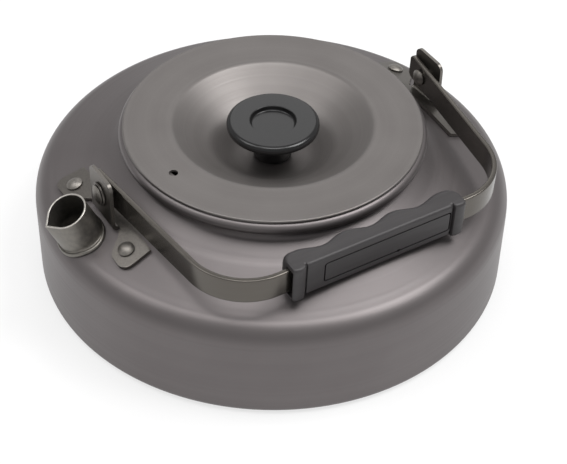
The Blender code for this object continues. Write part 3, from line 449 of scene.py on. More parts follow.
def spun(outline, steps, closed=False):
    """Spin an outline of (radius, height) points round Z. An open one starts and ends on the axis."""
    bm = bmesh.new()
    points = [bm.verts.new((r, 0, z)) for r, z in outline]
    pairs = list(zip(points, points[1:])) + ([(points[-1], points[0])] if closed else [])
    edges = [bm.edges.new(pair) for pair in pairs]
    bmesh.ops.spin(bm, geom=points + edges, cent=(0, 0, 0), axis=(0, 0, 1),
                   angle=2 * math.pi, steps=steps, use_merge=True)
    bmesh.ops.remove_doubles(bm, verts=bm.verts, dist=1e-7)
    return bm


def skinned(rings, closed_path=False):
    """Skin a row of rings that have the same number of points; end rings are filled unless it closes."""
    bm = bmesh.new()
    rows = [[bm.verts.new(p) for p in ring] for ring in rings]
    for lower, upper in zip(rows, rows[1:] + rows[:1] if closed_path else rows[1:]):
        count = len(lower)
        for i in range(count):
            bm.faces.new((lower[i], lower[(i + 1) % count], upper[(i + 1) % count], upper[i]))
    if not closed_path:
        bm.faces.new(rows[0])
        bm.faces.new(rows[-1])
    return bm


def piece(name, bm, metal=None, place=None):
    """Turn a worked mesh into an object, moved to its place, with its first finish."""
    if place is not None:
        bm.transform(place)
    bmesh.ops.recalc_face_normals(bm, faces=bm.faces)
    mesh = bpy.data.meshes.new(name)
    bm.to_mesh(mesh)
    bm.free()
    if metal:
        mesh.materials.append(metal)
    thing = bpy.data.objects.new(name, mesh)
    bpy.context.scene.collection.objects.link(thing)
    return thing


def cut(target, tools):
    """Take the tools out of the target and keep the result as its mesh."""
    for tool in tools:
        modifier = target.modifiers.new("cut", "BOOLEAN")
        modifier.operation = "DIFFERENCE"
        modifier.object = tool
    bpy.context.view_layer.update()
    depsgraph = bpy.context.evaluated_depsgraph_get()
    result = bpy.data.meshes.new_from_object(target.evaluated_get(depsgraph), depsgraph=depsgraph)
    target.modifiers.clear()
    target.data = result
    for tool in tools:
        bpy.data.objects.remove(tool)


def fair(thing, angle=35, edge=None):
    """Smooth shading that keeps flat faces flat and sharp edges sharp, with rounded edges if asked."""
    thing.data.shade_smooth()
    if edge:
        bevel = thing.modifiers.new("rounded_edges", "BEVEL")
        bevel.width = edge
        bevel.segments = 3
        bevel.limit_method = "ANGLE"
        bevel.angle_limit = math.radians(angle)
    else:
        thing.data.set_sharp_from_angle(angle=math.radians(angle))
    weigh = thing.modifiers.new("flat_faces", "WEIGHTED_NORMAL")
    weigh.keep_sharp = True


def fit(thing, node, body):
    """Let a fine piece stand for its node: hang it on the node's body and hide the node."""
    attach(thing, body)
    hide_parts(node)


def pin(radius, low, high, place):
    """Cutter for a round hole along Z of its place."""
    return piece("hole", spun([(0, low), (radius, low), (radius, high), (0, high)], SMALL_STEPS), place=place)


def shell_outline():
    """Section of the spun body, outside up to the bead and back down inside; the shoulder steepens to the neck."""
    slope, rise = math.degrees(SHOULDER_SLOPE), math.degrees(RISE_SLOPE)
    base = (BODY_RADIUS - BASE_FILLET, BASE_FILLET)
    shoulder = (FILLET_AXIS, WALL_HEIGHT)
    sweep = (RISE_START + RISE_SWEEP * math.sin(SHOULDER_SLOPE),
             shoulder_height(RISE_START) + RISE_SWEEP * math.cos(SHOULDER_SLOPE))
    sweep_arc = arc(sweep, RISE_SWEEP, 270 - slope, 270 - rise, 8)
    radius, height = sweep_arc[-1]
    neck = (NECK_AXIS, height + (radius - NECK_AXIS) * math.tan(RISE_SLOPE) + NECK_FILLET / math.cos(RISE_SLOPE))
    bead = (NECK_BORE + BEAD_RADIUS, BEAD_HEIGHT)
    bead_foot = math.degrees(math.acos((BEAD_RADIUS - SHEET) / BEAD_RADIUS))
    outside = [(0, 0)] + arc(base, BASE_FILLET, -90, 0, 10) + arc(shoulder, SHOULDER_FILLET, 0, 90 - slope, 20)
    outside += sweep_arc + arc(neck, NECK_FILLET, 270 - rise, 180, 12)
    outside += arc(bead, BEAD_RADIUS, -180 + bead_foot, 180, 28)
    inside = arc(neck, NECK_FILLET + SHEET, 180, 270 - rise, 8)
    inside += arc(sweep, RISE_SWEEP + SHEET, 270 - rise, 270 - slope, 6)
    inside += arc(shoulder, SHOULDER_FILLET - SHEET, 90 - slope, 0, 12)
    inside += arc(base, BASE_FILLET - SHEET, 0, -90, 6)
    return outside + inside + [(0, SHEET)]


def shoulder_place(x, y):
    """Frame that stands on the shoulder above (x, y), with Z along its normal."""
    radius = math.hypot(x, y)
    normal = Vector((x, y, 0)) / radius * math.sin(SHOULDER_SLOPE) + Vector((0, 0, math.cos(SHOULDER_SLOPE)))
    turn = normal.to_track_quat("Z", "Y").to_matrix().to_4x4()
    return Matrix.Translation((x, y, shoulder_height(radius))) @ turn


def rivet_holes(side):
    """Cutters for the holes of one side's two tab rivets."""
    return [pin(RIVET_RADIUS + HOLE_GAP, *RIVET_CUT, shoulder_place(side * RIVET_X, y))
            for y in (RIVET_FRONT, RIVET_REAR)]


def make_shell(metal):
    """The spun body, with its holes for rivets and spout."""
    shell = piece("spun_shell", spun(filled(shell_outline(), FILL_STEP), ROUND_STEPS), metal)
    throat = Matrix.Translation(SPOUT_BASE) @ SPOUT_AXIS.to_track_quat("Z", "Y").to_matrix().to_4x4()
    cut(shell, [pin(SPOUT_THROAT_RADIUS + HOLE_GAP, *THROAT_CUT, throat)] + rivet_holes(-1) + rivet_holes(1))
    fair(shell)
    fit(shell, "kettle_body", "kettle")


def dish_section(offset, floor_steps, edge_steps):
    """Dish of the lid from its floor out to the border, as a surface that lies offset above the top."""
    run = DISH_RADIUS - DISH_FLOOR_RADIUS
    rounds = DISH_FLOOR_ROUND + DISH_EDGE_ROUND
    rise = DISH_DEPTH - rounds
    slope = math.degrees(math.atan2(rise, run) + math.asin(rounds / math.hypot(run, rise)))
    floor = (DISH_FLOOR_RADIUS, DISH_FLOOR + DISH_FLOOR_ROUND)
    edge = (DISH_RADIUS, LID_TOP - DISH_EDGE_ROUND)
    return (arc(floor, DISH_FLOOR_ROUND - offset, -90, -90 + slope, floor_steps)
            + arc(edge, DISH_EDGE_ROUND + offset, 90 + slope, 90, edge_steps))


def make_lid(metal):
    """Dished lid pan with its vent hole, pressed from one disc."""
    corner = (LID_RADIUS - LID_EDGE_ROUND, LID_TOP - LID_EDGE_ROUND)
    top = [(SCREW_HOLE, DISH_FLOOR)] + dish_section(0.0, 22, 14)
    top += [(BORDER_START, LID_TOP)] + arc(corner, LID_EDGE_ROUND, 90, 0, 8)
    under = [(LID_RADIUS, LID_UNDERSIDE)] + dish_section(-LID_SHEET, 16, 10)[::-1]
    outline = filled(top + under + [(SCREW_HOLE, DISH_FLOOR - LID_SHEET)], FILL_STEP)
    pan = piece("pressed_lid", spun(outline, ROUND_STEPS, closed=True), metal)
    vent = Matrix.Translation((-VENT_REACH * math.cos(VENT_ANGLE), -VENT_REACH * math.sin(VENT_ANGLE), LID_TOP))
    cut(pan, [pin(VENT_RADIUS, *VENT_CUT, vent)])
    fair(pan)
    fit(pan, "lid_pan", "lid")


def make_ring(metal):
    """Locating ring below the lid."""
    top = LID_UNDERSIDE - SEAT_GAP
    corner = (RING_RADIUS - RING_SHEET - RING_BEND, top - RING_SHEET - RING_BEND)
    flange = RING_RADIUS - RING_FLANGE
    outline = [(flange, top)] + arc(corner, RING_SHEET + RING_BEND, 90, 0, 8)
    outline += [(RING_RADIUS, top - RING_DEPTH), (RING_RADIUS - RING_SHEET, top - RING_DEPTH)]
    outline += arc(corner, RING_BEND, 0, 90, 6) + [(flange, top - RING_SHEET)]
    ring = piece("locating_ring", spun(filled(outline, FINE_FILL_STEP), ROUND_STEPS, closed=True), metal)
    fair(ring)
    fit(ring, "lid_ring", "lid")


def make_knob(resin):
    """Pressed knob: flared stem, flat disc with a rounded rim, and a round recess in its top."""
    foot = DISH_FLOOR + SEAT_GAP
    top = foot + KNOB_HEIGHT
    under = top - KNOB_RIM
    outline = [(0, foot + INSERT_BORE_DEPTH), (INSERT_BORE, foot + INSERT_BORE_DEPTH), (INSERT_BORE, foot)]
    outline += arc((KNOB_FOOT_RADIUS - KNOB_FOOT_ROUND, foot + KNOB_FOOT_ROUND), KNOB_FOOT_ROUND, -90, 0, 3)
    outline += arc((KNOB_STEM_RADIUS + KNOB_FLARE, under - KNOB_FLARE), KNOB_FLARE, 180, 90, 10)
    outline += arc((KNOB_RADIUS - KNOB_UNDER_ROUND, under + KNOB_UNDER_ROUND), KNOB_UNDER_ROUND, -90, 0, 8)
    outline += arc((KNOB_RADIUS - KNOB_TOP_ROUND, top - KNOB_TOP_ROUND), KNOB_TOP_ROUND, 0, 90, 8)
    outline += [(KNOB_FACE_RADIUS, top)]
    outline += arc((KNOB_RECESS_RADIUS + KNOB_RECESS_EDGE, top - KNOB_RECESS_EDGE), KNOB_RECESS_EDGE, 90, 180, 4)
    floor = top - KNOB_RECESS_DEPTH
    corner = KNOB_RECESS_RADIUS - KNOB_RECESS_DRAFT - KNOB_RECESS_ROUND
    outline += arc((corner, floor + KNOB_RECESS_ROUND), KNOB_RECESS_ROUND, 0, -90, 4) + [(0, floor)]
    knob = piece("pressed_knob", spun(filled(outline, FINE_FILL_STEP), KNOB_STEPS), resin)
    fair(knob, 50)
    fit(knob, "knob", "lid")


def lip_radius(angle, wall):
    """Polar outline of the pinched lip about the spout's axis; angle 0 is the pouring point."""
    radius = SPOUT_LIP_RADIUS - wall
    centre = SPOUT_LIP_RADIUS - SPOUT_RADIUS
    tip = SPOUT_RADIUS - LIP_THICKENING * wall
    tangent = math.acos(radius / (tip - centre))
    turn = abs((angle + math.pi) % (2 * math.pi) - math.pi)
    touch = math.atan2(radius * math.sin(tangent), centre + radius * math.cos(tangent))
    if turn < touch:
        return (radius + centre * math.cos(tangent)) / math.cos(turn - tangent)
    along = centre * math.cos(turn)
    return along + math.sqrt(radius ** 2 - (centre * math.sin(turn)) ** 2)


def spout_point(radius, angle, above):
    """Point of a line parallel to the spout's axis where it is a given height above the shoulder."""
    start = SPOUT_BASE + (SPOUT_DOWN * math.cos(angle) + SPOUT_SIDE * math.sin(angle)) * radius
    low, high = -0.03, 0.03
    for _ in range(30):
        middle = (low + high) / 2
        point = start + SPOUT_AXIS * middle
        if point.z > shoulder_height(math.hypot(point.x, point.y), above):
            high = middle
        else:
            low = middle
    return start + SPOUT_AXIS * high


def make_spout(metal, rim_highlight):
    """Spout as one closed skin: outside down to the flange, throat, inner roll, up the bore; its cut rim takes a
    lighter second finish, a painted highlight.
    """
    angles = [2 * math.pi * i / SPOUT_STEPS for i in range(SPOUT_STEPS)]
    roll_top = -SHEET - SEAT_GAP
    wall_high = SEAT_GAP + SPOUT_WALL
    bore = SPOUT_THROAT_RADIUS - SPOUT_WALL

    def ring(radius, above):
        return [spout_point(radius, a, above) for a in angles]

    def flange(share, above):
        width = [SPOUT_FLANGE_SIDE * math.sin(a) ** 2
                 + (SPOUT_FLANGE if math.cos(a) > 0 else SPOUT_FLANGE_INNER) * math.cos(a) ** 2 for a in angles]
        return [spout_point(SPOUT_RADIUS + w * share, a, above) for w, a in zip(width, angles)]

    def rim(wall, drop):
        return [SPOUT_BASE + SPOUT_AXIS * (SPOUT_LENGTH - drop)
                + (SPOUT_DOWN * math.cos(a) + SPOUT_SIDE * math.sin(a)) * lip_radius(a, wall) for a in angles]

    def between(lower, upper, count):
        shares = [i / count for i in range(1, count)]
        return [[a.lerp(b, share) for a, b in zip(lower, upper)] for share in shares]

    outer_foot = ring(SPOUT_RADIUS, wall_high + SPOUT_FOOT_RISE)
    bore_foot = ring(SPOUT_RADIUS - SPOUT_WALL, wall_high + SPOUT_BORE_RISE)
    outer_rim, inner_rim = rim(0.0, SPOUT_RIM_DROP), rim(SPOUT_RIM, SPOUT_RIM_DROP)
    rings = [outer_rim] + between(outer_foot, outer_rim, 6)[::-1] + [outer_foot]
    rings += [flange(share, wall_high + lift * MM) for share, lift in SPOUT_BEAD]
    rings += [flange(1.0, SEAT_GAP),
              ring(SPOUT_THROAT_RADIUS, SEAT_GAP), ring(SPOUT_THROAT_RADIUS, roll_top),
              ring(SPOUT_THROAT_RADIUS + SPOUT_ROLL, roll_top),
              ring(SPOUT_THROAT_RADIUS + SPOUT_ROLL, roll_top - SPOUT_WALL),
              ring(bore, roll_top - SPOUT_WALL), ring(bore, 0.0), bore_foot]
    rings += between(bore_foot, inner_rim, 6) + [inner_rim]
    rounds = [rim(inset * MM, drop * MM) for inset, drop in SPOUT_RIM_ROUND]
    bm = skinned(rings + rounds, closed_path=True)
    bm.faces.ensure_lookup_table()
    # The rim's faces take the second, lighter finish: a painted highlight on the cut rim.
    for face in list(bm.faces)[-(len(rounds) + 1) * SPOUT_STEPS:]:
        face.material_index = 1
    spout = piece("leaning_spout", bm, metal)
    spout.data.materials.append(rim_highlight)
    fair(spout, 50)
    fit(spout, "spout", "kettle")


def hinge_place(side):
    """Frame of a hinge rivet: its Z points outboard along the hinge axis."""
    return Matrix.Translation((side * PIVOT_SPAN, 0, PIVOT_HEIGHT)) @ Matrix.Rotation(side * math.pi / 2, 4, "Y")


def hinge_hole(side):
    """Cutter for the hole of one side's hinge rivet."""
    return pin(PIVOT_RADIUS + HOLE_GAP, *HINGE_CUT, hinge_place(side))


def foot_point(across, along, side):
    """Point on a bracket foot's lower face: across outboard from the axis, along the bracket."""
    turned = along * (1 + TAB_FAN * (across - FOOT_EDGE) / FOOT_EDGE)
    return (side * across, turned, shoulder_height(math.hypot(across, turned), SEAT_GAP))


def tab_edge(along):
    """Outboard edge of a tab: it flares out from the notch and rounds off at the end."""
    distance = abs(along)
    flare = min(1.0, (distance - EAR_HALF_WIDTH - EAR_RELIEF) / TAB_FLARE)
    edge = EAR_OUTER - NOTCH_INSET + (TAB_REACH + NOTCH_INSET) * flare ** 2 * (3 - 2 * flare)
    past = distance - ((FOOT_FRONT if along < 0 else FOOT_REAR) - TAB_CORNER)
    if past > 0:
        edge -= TAB_CORNER - math.sqrt(max(0.0, TAB_CORNER ** 2 - past ** 2))
    return edge


def ear_top(along):
    """Top edge of the ear, with rounded corners."""
    past = abs(along) - (EAR_HALF_WIDTH - EAR_CORNER)
    if past <= 0:
        return EAR_TOP
    return EAR_TOP - EAR_CORNER + math.sqrt(max(0.0, EAR_CORNER ** 2 - past ** 2))


def bracket_sheet(side):
    """Lower and outer face of a bracket as one bent sheet."""
    bm = bmesh.new()
    grid = {}
    root = EAR_OUTER - BEND_OUTSIDE - BEND_OUTSIDE * math.sin(SHOULDER_SLOPE)
    notch = EAR_HALF_WIDTH + EAR_RELIEF
    rounding = [math.sin(math.pi / 2 * i / 8) for i in range(9)]
    straight = EAR_HALF_WIDTH - EAR_CORNER
    corner = [straight + EAR_CORNER * f for f in rounding]
    ear_rows = [-w for w in reversed(corner)] + [straight * f for f in (-0.67, -0.33, 0, 0.33, 0.67)] + corner

    def tab_rows(length):
        flat = length - TAB_CORNER
        return [notch + (flat - notch) * i / 12 for i in range(12)] + [flat + TAB_CORNER * f for f in rounding]

    front_rows = [-w for w in reversed(tab_rows(FOOT_FRONT))]
    rows = front_rows + ear_rows + tab_rows(FOOT_REAR)

    def vertex(key, point):
        if key not in grid:
            grid[key] = bm.verts.new(point)
        return grid[key]

    def skin(columns, first, last):
        """Faces over the rows from first to last; columns maps a row to its named points."""
        for low in range(first, last):
            left, right = columns(low), columns(low + 1)
            for i in range(len(left) - 1):
                bm.faces.new([vertex(*left[i]), vertex(*left[i + 1]), vertex(*right[i + 1]), vertex(*right[i])])

    def base_columns(row):
        steps = [FOOT_EDGE + (root - FOOT_EDGE) * i / 4 for i in range(5)]
        return [((row, i), foot_point(x, rows[row], side)) for i, x in enumerate(steps)]

    def tab_columns(row):
        edge = tab_edge(rows[row])
        steps = [root + (edge - root) * i / 6 for i in range(7)]
        return [((row, 4 + i), foot_point(x, rows[row], side)) for i, x in enumerate(steps)]

    def ear_columns(row):
        start = foot_point(root, rows[row], side)
        centre = (EAR_OUTER - BEND_OUTSIDE, start[2] + BEND_OUTSIDE * math.cos(SHOULDER_SLOPE))
        bend = arc(centre, BEND_OUTSIDE, -90 - math.degrees(SHOULDER_SLOPE), 0, 10)
        rise = [(EAR_OUTER, centre[1] + (ear_top(rows[row]) - centre[1]) * i / 4) for i in range(1, 5)]
        points = [((row, 4), start)]
        return points + [((row, 5 + i), (side * x, start[1], z)) for i, (x, z) in enumerate(bend[1:] + rise)]

    first_ear = len(front_rows)
    last_ear = first_ear + len(ear_rows) - 1
    skin(base_columns, 0, len(rows) - 1)
    skin(tab_columns, 0, first_ear - 1)
    skin(ear_columns, first_ear, last_ear)
    skin(tab_columns, last_ear + 1, len(rows) - 1)
    return bm


def make_bracket(side, label, metal):
    """A bracket: bent sheet with its thickness above and inboard, and holes for rivets and hinge."""
    bracket = piece("bent_bracket_" + label, bracket_sheet(side), metal)
    upward = sum(face.normal.z * face.area for face in bracket.data.polygons)
    if upward < 0:
        bracket.data.flip_normals()
    sheet = bracket.modifiers.new("sheet", "SOLIDIFY")
    sheet.thickness = BRACKET_SHEET
    sheet.offset = 1.0
    sheet.use_even_offset = True
    cut(bracket, rivet_holes(side) + [hinge_hole(side)])
    fair(bracket, 40, edge=BRACKET_EDGE)
    fit(bracket, "bracket_" + label, "kettle")


def domed(radius, height, base, edge, steps=10):
    """Half section of a low dome on a plane, above a short upright edge, from its rim to the axis."""
    rise = height - edge
    sphere = (radius ** 2 + rise ** 2) / (2 * rise)
    span = math.asin(min(1.0, radius / sphere))
    angles = [span * (1 - i / steps) for i in range(steps + 1)]
    centre = base + height - sphere
    return [(radius, base)] + [(sphere * math.sin(a), centre + sphere * math.cos(a)) for a in angles]


def make_rivets(side, label, aluminium, steel):
    """Tab rivets, hinge rivet and washer of one side."""
    tail_seat = -SHEET - SEAT_GAP
    head_seat = BRACKET_SHEET + 2 * SEAT_GAP
    low = tail_seat - RIVET_TAIL_HEIGHT
    outline = [(0, low), (RIVET_TAIL_RADIUS - RIVET_TAIL_CHAMFER, low), (RIVET_TAIL_RADIUS, low + RIVET_TAIL_CHAMFER),
               (RIVET_TAIL_RADIUS, tail_seat), (RIVET_RADIUS, tail_seat), (RIVET_RADIUS, head_seat)]
    outline += domed(RIVET_HEAD_RADIUS, RIVET_HEAD_HEIGHT, head_seat, RIVET_HEAD_EDGE)
    for end, y in (("front", RIVET_FRONT), ("rear", RIVET_REAR)):
        place = shoulder_place(side * RIVET_X, y)
        rivet = piece("domed_rivet_" + label + "_" + end, spun(outline, SMALL_STEPS), aluminium, place)
        fair(rivet)
        fit(rivet, "rivet_" + label + "_" + end, "kettle")

    half_across = STRIP_THICKNESS / 2 / math.cos(BAIL_TAPER)
    dome_seat = -half_across - PIVOT_DOME_RADIUS * math.tan(BAIL_TAPER) - SEAT_GAP
    washer_low = EAR_OUTER - PIVOT_SPAN + SEAT_GAP
    washer_high = washer_low + PIVOT_WASHER_SHEET
    dome = domed(PIVOT_DOME_RADIUS, PIVOT_DOME_HEIGHT, dome_seat, RIVET_HEAD_EDGE)
    outline = [(r, 2 * dome_seat - z) for r, z in reversed(dome)]
    outline += [(PIVOT_RADIUS, dome_seat), (PIVOT_RADIUS, washer_high + SEAT_GAP)]
    outline += domed(PIVOT_HEAD_RADIUS, PIVOT_HEAD_HEIGHT, washer_high + SEAT_GAP, PIVOT_HEAD_EDGE)
    rivet = piece("hinge_rivet_" + label, spun(outline, SMALL_STEPS), aluminium, hinge_place(side))
    fair(rivet)
    fit(rivet, "pivot_rivet_" + label, "kettle")

    inner = PIVOT_RADIUS + HOLE_GAP
    face = PIVOT_WASHER_RADIUS - PIVOT_WASHER_CHAMFER
    outline = [(inner, washer_low), (face, washer_low), (PIVOT_WASHER_RADIUS, washer_low + PIVOT_WASHER_CHAMFER),
               (PIVOT_WASHER_RADIUS, washer_high - PIVOT_WASHER_CHAMFER), (face, washer_high), (inner, washer_high)]
    washer = piece("hinge_washer_" + label, spun(outline, SMALL_STEPS, closed=True), steel, hinge_place(side))
    fair(washer)
    fit(washer, "pivot_washer_" + label, "kettle")


def strip_stations():
    """Middle line of the U in the bail's plane: (x, reach, direction) from one tail to the other."""
    arm = math.pi / 2 + BAIL_TAPER
    near = {0.0, 0.03, 0.09, 0.18, 0.3, 0.38}    # mm from the tail's end, and on round its corners
    near |= {round(STRIP_CORNER / MM * (1 - math.cos(math.pi / 2 * i / 10)), 3) for i in range(3, 11)}
    tail = [d * MM - STRIP_TAIL for d in sorted(near)]
    stations = [(PIVOT_SPAN - reach * math.tan(BAIL_TAPER), reach, arm) for reach in tail]
    for i in range(41):
        turn = BAIL_TAPER + (math.pi / 2 - BAIL_TAPER) * i / 40
        stations.append((BAR_HALF + BAIL_BEND * math.cos(turn), BAIL_REACH - BAIL_BEND + BAIL_BEND * math.sin(turn),
                         turn + math.pi / 2))
    return stations + [(-x, reach, -angle) for x, reach, angle in reversed(stations)]


def strip_ring(x, reach, angle):
    """Section of the strip at a station: a flat bar on edge with rounded edges, drawn in at the tails."""
    from_end = reach + STRIP_TAIL
    past = max(0.0, STRIP_CORNER - from_end)
    half = STRIP_WIDTH / 2 - STRIP_CORNER + math.sqrt(max(0.0, STRIP_CORNER ** 2 - past ** 2))
    inset = STRIP_EDGE - math.sqrt(STRIP_EDGE ** 2 - max(0.0, STRIP_EDGE - from_end) ** 2)
    round_off = max(STRIP_EDGE - inset, 0.01 * MM)
    across, up = STRIP_THICKNESS / 2 - inset - round_off, half - inset - round_off
    section = []
    for i, (s, h) in enumerate(((across, up), (-across, up), (-across, -up), (across, -up))):
        section += arc((s, h), round_off, 90 * i, 90 * i + 90, 4)
    normal = Vector((math.cos(angle + math.pi / 2), math.sin(angle + math.pi / 2)))
    return [(x + normal.x * s, -(reach + normal.y * s), h) for s, h in section]


def make_strip(steel):
    """The bail's strip, swept round the U, with its two hinge holes."""
    strip = piece("bent_strip", skinned([strip_ring(*s) for s in strip_stations()]), steel, BAIL_PLACE)
    cut(strip, [hinge_hole(-1), hinge_hole(1)])
    fair(strip)
    fit(strip, "bail_strip", "bail")


def finger_depth(x):
    """Depth of the finger hollows below the crests, at x along the grip."""
    outer_crest = GRIP_HALF - FINGER_LAND
    inner_crest = FINGER_MIDDLE / 2
    distance = abs(x)
    if distance <= inner_crest:
        return FINGER_DEPTH * (1 + math.cos(math.pi * distance / inner_crest)) / 2
    if distance <= outer_crest:
        phase = (distance - inner_crest) / (outer_crest - inner_crest)
        return FINGER_DEPTH * (1 - math.cos(2 * math.pi * phase)) / 2
    return 0.0


def grip_ring(x, swell=0.0, shrink=0.0, drop=0.0):
    """Section of the grip at x: flat and square outside, rounded on the finger side."""
    past = max(0.0, abs(x) - (GRIP_HALF - GRIP_CORNER))
    inner = GRIP_INNER - finger_depth(x) - GRIP_CORNER + math.sqrt(max(0.0, GRIP_CORNER ** 2 - past ** 2))
    outer = GRIP_OUTER + swell
    large = min(GRIP_INNER_ROUND, 0.8 * inner)
    half = GRIP_HEIGHT / 2 - shrink
    small = GRIP_OUTER_ROUND
    outline = arc((outer - small, half - small), small, 0, 90, 6)
    outline += arc((-inner + large, half - large), large, 90, 180, 10)
    outline += arc((-inner + large, -half + large), large, 180, 270, 10)
    outline += arc((outer - small, -half - drop + small), small, 270, 360, 6)
    return [(x, -(BAIL_REACH + reach), z) for reach, z in outline]


def panel_path(steps=6):
    """Corner centre and angle of each point round the outline of the grip's panel."""
    left, right = PANEL_START + PANEL_CORNER, PANEL_END - PANEL_CORNER
    high = PANEL_HALF_HEIGHT - PANEL_CORNER
    return [(centre, math.radians(90 * i + 90 * k / steps))
            for i, centre in enumerate(((right, high), (left, high), (left, -high), (right, -high)))
            for k in range(steps + 1)]


def grip_stations():
    """Sections along the grip, as grip_ring takes them: rounded ends, ribs and grooves, and the long middle."""
    rib_start = GRIP_HALF - RIB_LENGTH
    groove_start = rib_start - GROOVE_LENGTH
    ends = [(GRIP_HALF - inset * MM, swell * MM, shrink * MM, share * RIB_DROP)
            for inset, swell, shrink, share in GRIP_END]
    for share in RIB_SHARES:
        swell = RIB_SWELL * math.sqrt(1 - (2 * share - 1) ** 2)
        ends.append((GRIP_HALF - RIB_LENGTH * share, swell, 0.0, RIB_DROP))
    ends += [(rib_start + GROOVE_EDGE, 0.1 * MM, 0.0, 0.6 * RIB_DROP), (rib_start, -GROOVE_DEPTH, 0.0, 0.0),
             (groove_start, -GROOVE_DEPTH, 0.0, 0.0), (groove_start - GROOVE_EDGE, -0.12 * MM, 0.0, 0.0),
             (groove_start - GROOVE_FADE, 0.0, 0.0, 0.0)]
    half = groove_start - 0.9 * MM
    middle = [(half * (1 - 2 * i / 64), 0.0, 0.0, 0.0) for i in range(65)]
    return ends + middle + [(-x, *rest) for x, *rest in reversed(ends)]


def grip_cutter(name, rings, closed_path=False):
    """Cutter for the grip, in the bail's own place."""
    return piece(name, skinned(rings, closed_path), place=BAIL_PLACE)


def make_grip(nylon):
    """Moulded grip: finger hollows inside; ribs, grooves and a panel with a sunk line outside."""
    grip = piece("moulded_grip", skinned([grip_ring(*s) for s in grip_stations()]), nylon, BAIL_PLACE)
    past = GRIP_HALF + PAST_END
    corners = ((0, POCKET_TOP), (POCKET_REACH, POCKET_TOP), (POCKET_REACH, POCKET_BOTTOM), (0, POCKET_BOTTOM))
    pockets = [[[(side * x, -BAIL_REACH - reach, z) for reach, z in corners]
                for x in (GRIP_HALF - POCKET_DEPTH, past)] for side in (-1, 1)]
    face = -(BAIL_REACH + GRIP_OUTER)
    gate = [[(x, y, z) for x, z in arc((GATE_X, -PANEL_HALF_HEIGHT), GATE_RADIUS, 0, 345, 23)]
            for y in (face + GATE_DEPTH, face - PAST_FACE)]
    across = STRIP_THICKNESS / 2 + HOLE_GAP
    up = STRIP_WIDTH / 2 + HOLE_GAP
    slot = [[(x, -BAIL_REACH + s * across, h * up) for s, h in ((1, 1), (-1, 1), (-1, -1), (1, -1))]
            for x in (-past, past)]
    profile = ((-PANEL_LINE_OUTSIDE, -PAST_FACE), (PANEL_LINE_OUTSIDE, -PAST_FACE),
               (PANEL_LINE_INSIDE, PANEL_LINE_DEPTH), (-PANEL_LINE_INSIDE, PANEL_LINE_DEPTH))
    line = [[(c[0] + (PANEL_CORNER + out) * math.cos(a), face + deep, c[1] + (PANEL_CORNER + out) * math.sin(a))
             for out, deep in profile] for c, a in panel_path()]
    cut(grip, [grip_cutter("pocket", pocket) for pocket in pockets]
        + [grip_cutter("gate", gate), grip_cutter("slot", slot), grip_cutter("line", line, closed_path=True)])
    fair(grip, 30)
    fit(grip, "grip", "bail")


def dress(node, metal, edge=0.15 * MM):
    """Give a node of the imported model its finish, smooth shading and rounded edges."""
    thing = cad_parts[node]
    thing.data.materials.clear()
    thing.data.materials.append(metal)
    thing.data.shade_smooth()
    weld = thing.modifiers.new("weld", "WELD")
    weld.merge_threshold = 0.002 * MM
    bevel = thing.modifiers.new("worn_edges", "BEVEL")
    bevel.width = edge
    bevel.segments = 2
    bevel.limit_method = "ANGLE"
    bevel.angle_limit = math.radians(35)
    weigh = thing.modifiers.new("flat_faces", "WEIGHTED_NORMAL")
    weigh.keep_sharp = True


def softbox(name, place, watts):
    """A soft square studio lamp that faces the kettle."""
    lamp = bpy.data.lights.new(name, "AREA")
    lamp.size = LAMP_SIZE
    lamp.energy = watts
    thing = bpy.data.objects.new(name, lamp)
    thing.location = place
    thing.rotation_euler = (LAMP_AIM - Vector(place)).to_track_quat("-Z", "Y").to_euler()
    bpy.context.scene.collection.objects.link(thing)


def make_studio():
    """White floor that runs out of view, soft lamps and a pale surround."""
    bm = bmesh.new()
    bmesh.ops.create_grid(bm, x_segments=1, y_segments=1, size=FLOOR_HALF)
    floor = piece("studio_floor", bm, place=Matrix.Translation((0, 0, cad_box[0].z)))
    paper, tree, shader = finish("white_paper", "#F2F2F2", 0.0, 0.9)
    light_path = add(tree, "LightPath")
    seen = add(tree, "Math", links={0: light_path.outputs["Is Camera Ray"], 1: light_path.outputs["Is Glossy Ray"]},
               operation="MAXIMUM")
    seen = add(tree, "Math", links={0: seen.outputs[0], 1: light_path.outputs["Is Transmission Ray"]},
               operation="MAXIMUM")
    share = add(tree, "Math", values={1: FLOOR_GLOW}, links={0: seen.outputs[0]}, operation="MULTIPLY")
    glow = add(tree, "Emission", values={"Color": (1, 1, 1, 1), "Strength": 1.0})
    mixed = add(tree, "MixShader", links={0: share.outputs[0], 1: shader.outputs[0], 2: glow.outputs[0]})
    tree.links.new(mixed.outputs[0], tree.nodes["Material Output"].inputs[0])
    floor.data.materials.append(paper)

    world = bpy.data.worlds.new("studio")
    world.use_nodes = True
    tree = world.node_tree
    background = tree.nodes["Background"]
    background.inputs["Color"].default_value = (1, 1, 1, 1)
    light_path = add(tree, "LightPath")
    strength = add(tree, "MapRange", values={3: ROOM_LIGHT, 4: 1.0}, links={0: light_path.outputs["Is Camera Ray"]})
    tree.links.new(strength.outputs[0], background.inputs["Strength"])
    bpy.context.scene.world = world

    for lamp in LAMPS:
        softbox(*lamp)


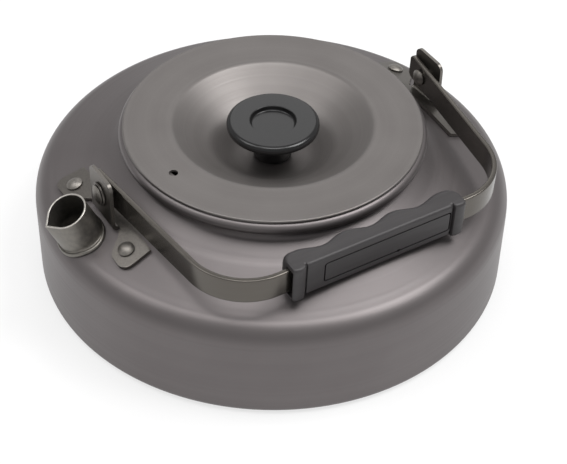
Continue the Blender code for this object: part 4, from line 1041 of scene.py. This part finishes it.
def make_camera():
    """The photograph's viewpoint: above the front, spout at the left."""
    camera = bpy.data.cameras.new("photo_view")
    camera.sensor_width = 36
    camera.lens = CAMERA_LENS
    camera.clip_start = 0.01
    thing = bpy.data.objects.new("photo_view", camera)
    right = Vector(CAMERA_RIGHT).normalized()
    ahead = Vector(CAMERA_AHEAD).normalized()
    up = right.cross(ahead).normalized()
    right = ahead.cross(up)
    turn = Matrix((right, up, -ahead)).transposed().to_4x4()
    thing.matrix_world = Matrix.Translation(CAMERA_PLACE) @ turn
    bpy.context.scene.collection.objects.link(thing)
    bpy.context.scene.camera = thing


bpy.context.scene.view_settings.view_transform = "Standard"
make_camera()
make_studio()

body_metal = spun_anodised("hard_anodised_body", "#6A6565", "#6F6A6A", 0.43)
lid_metal = spun_anodised("hard_anodised_lid", "#6F6B69", "#777371", 0.46)
spout_metal = tumbled_metal("hard_anodised_spout", "#74716C", "#807C76", 0.42, grain=1.5)
# The spout's cut rim, drawn much lighter than the anodised body: a painted highlight.
rim_highlight_metal = tumbled_metal("painted_rim_highlight", "#B0ACA6", "#BAB6B0", 0.4, grain=0.5)
strip_steel = rolled_strip("brushed_strip", "#5E5A55", "#625E59", 0.24)
bracket_steel = tumbled_metal("tumbled_bracket", "#6D6965", "#76726D", 0.36)
rivet_metal = tumbled_metal("rivet_aluminium", "#7A7672", "#86827C", 0.44, grain=0.8)
screw_steel = tumbled_metal("plated_screw", "#A5A29C", "#B3B0AA", 0.28)
insert_brass = tumbled_metal("turned_brass", "#A98645", "#B99553", 0.35)
grip_nylon = moulded_nylon("moulded_grip", "#292627", "#312E2F")
knob_resin = pressed_phenolic("pressed_knob", "#111111", "#161516")

make_shell(body_metal)
make_lid(lid_metal)
make_ring(lid_metal)
make_knob(knob_resin)
make_spout(spout_metal, rim_highlight_metal)
for side, label in ((-1, "spout_side"), (1, "back_side")):
    make_bracket(side, label, bracket_steel)
    make_rivets(side, label, rivet_metal, bracket_steel)
make_strip(strip_steel)
make_grip(grip_nylon)
dress("knob_insert", insert_brass, 0.1 * MM)
dress("knob_screw", screw_steel)
dress("knob_washer", screw_steel, 0.1 * MM)
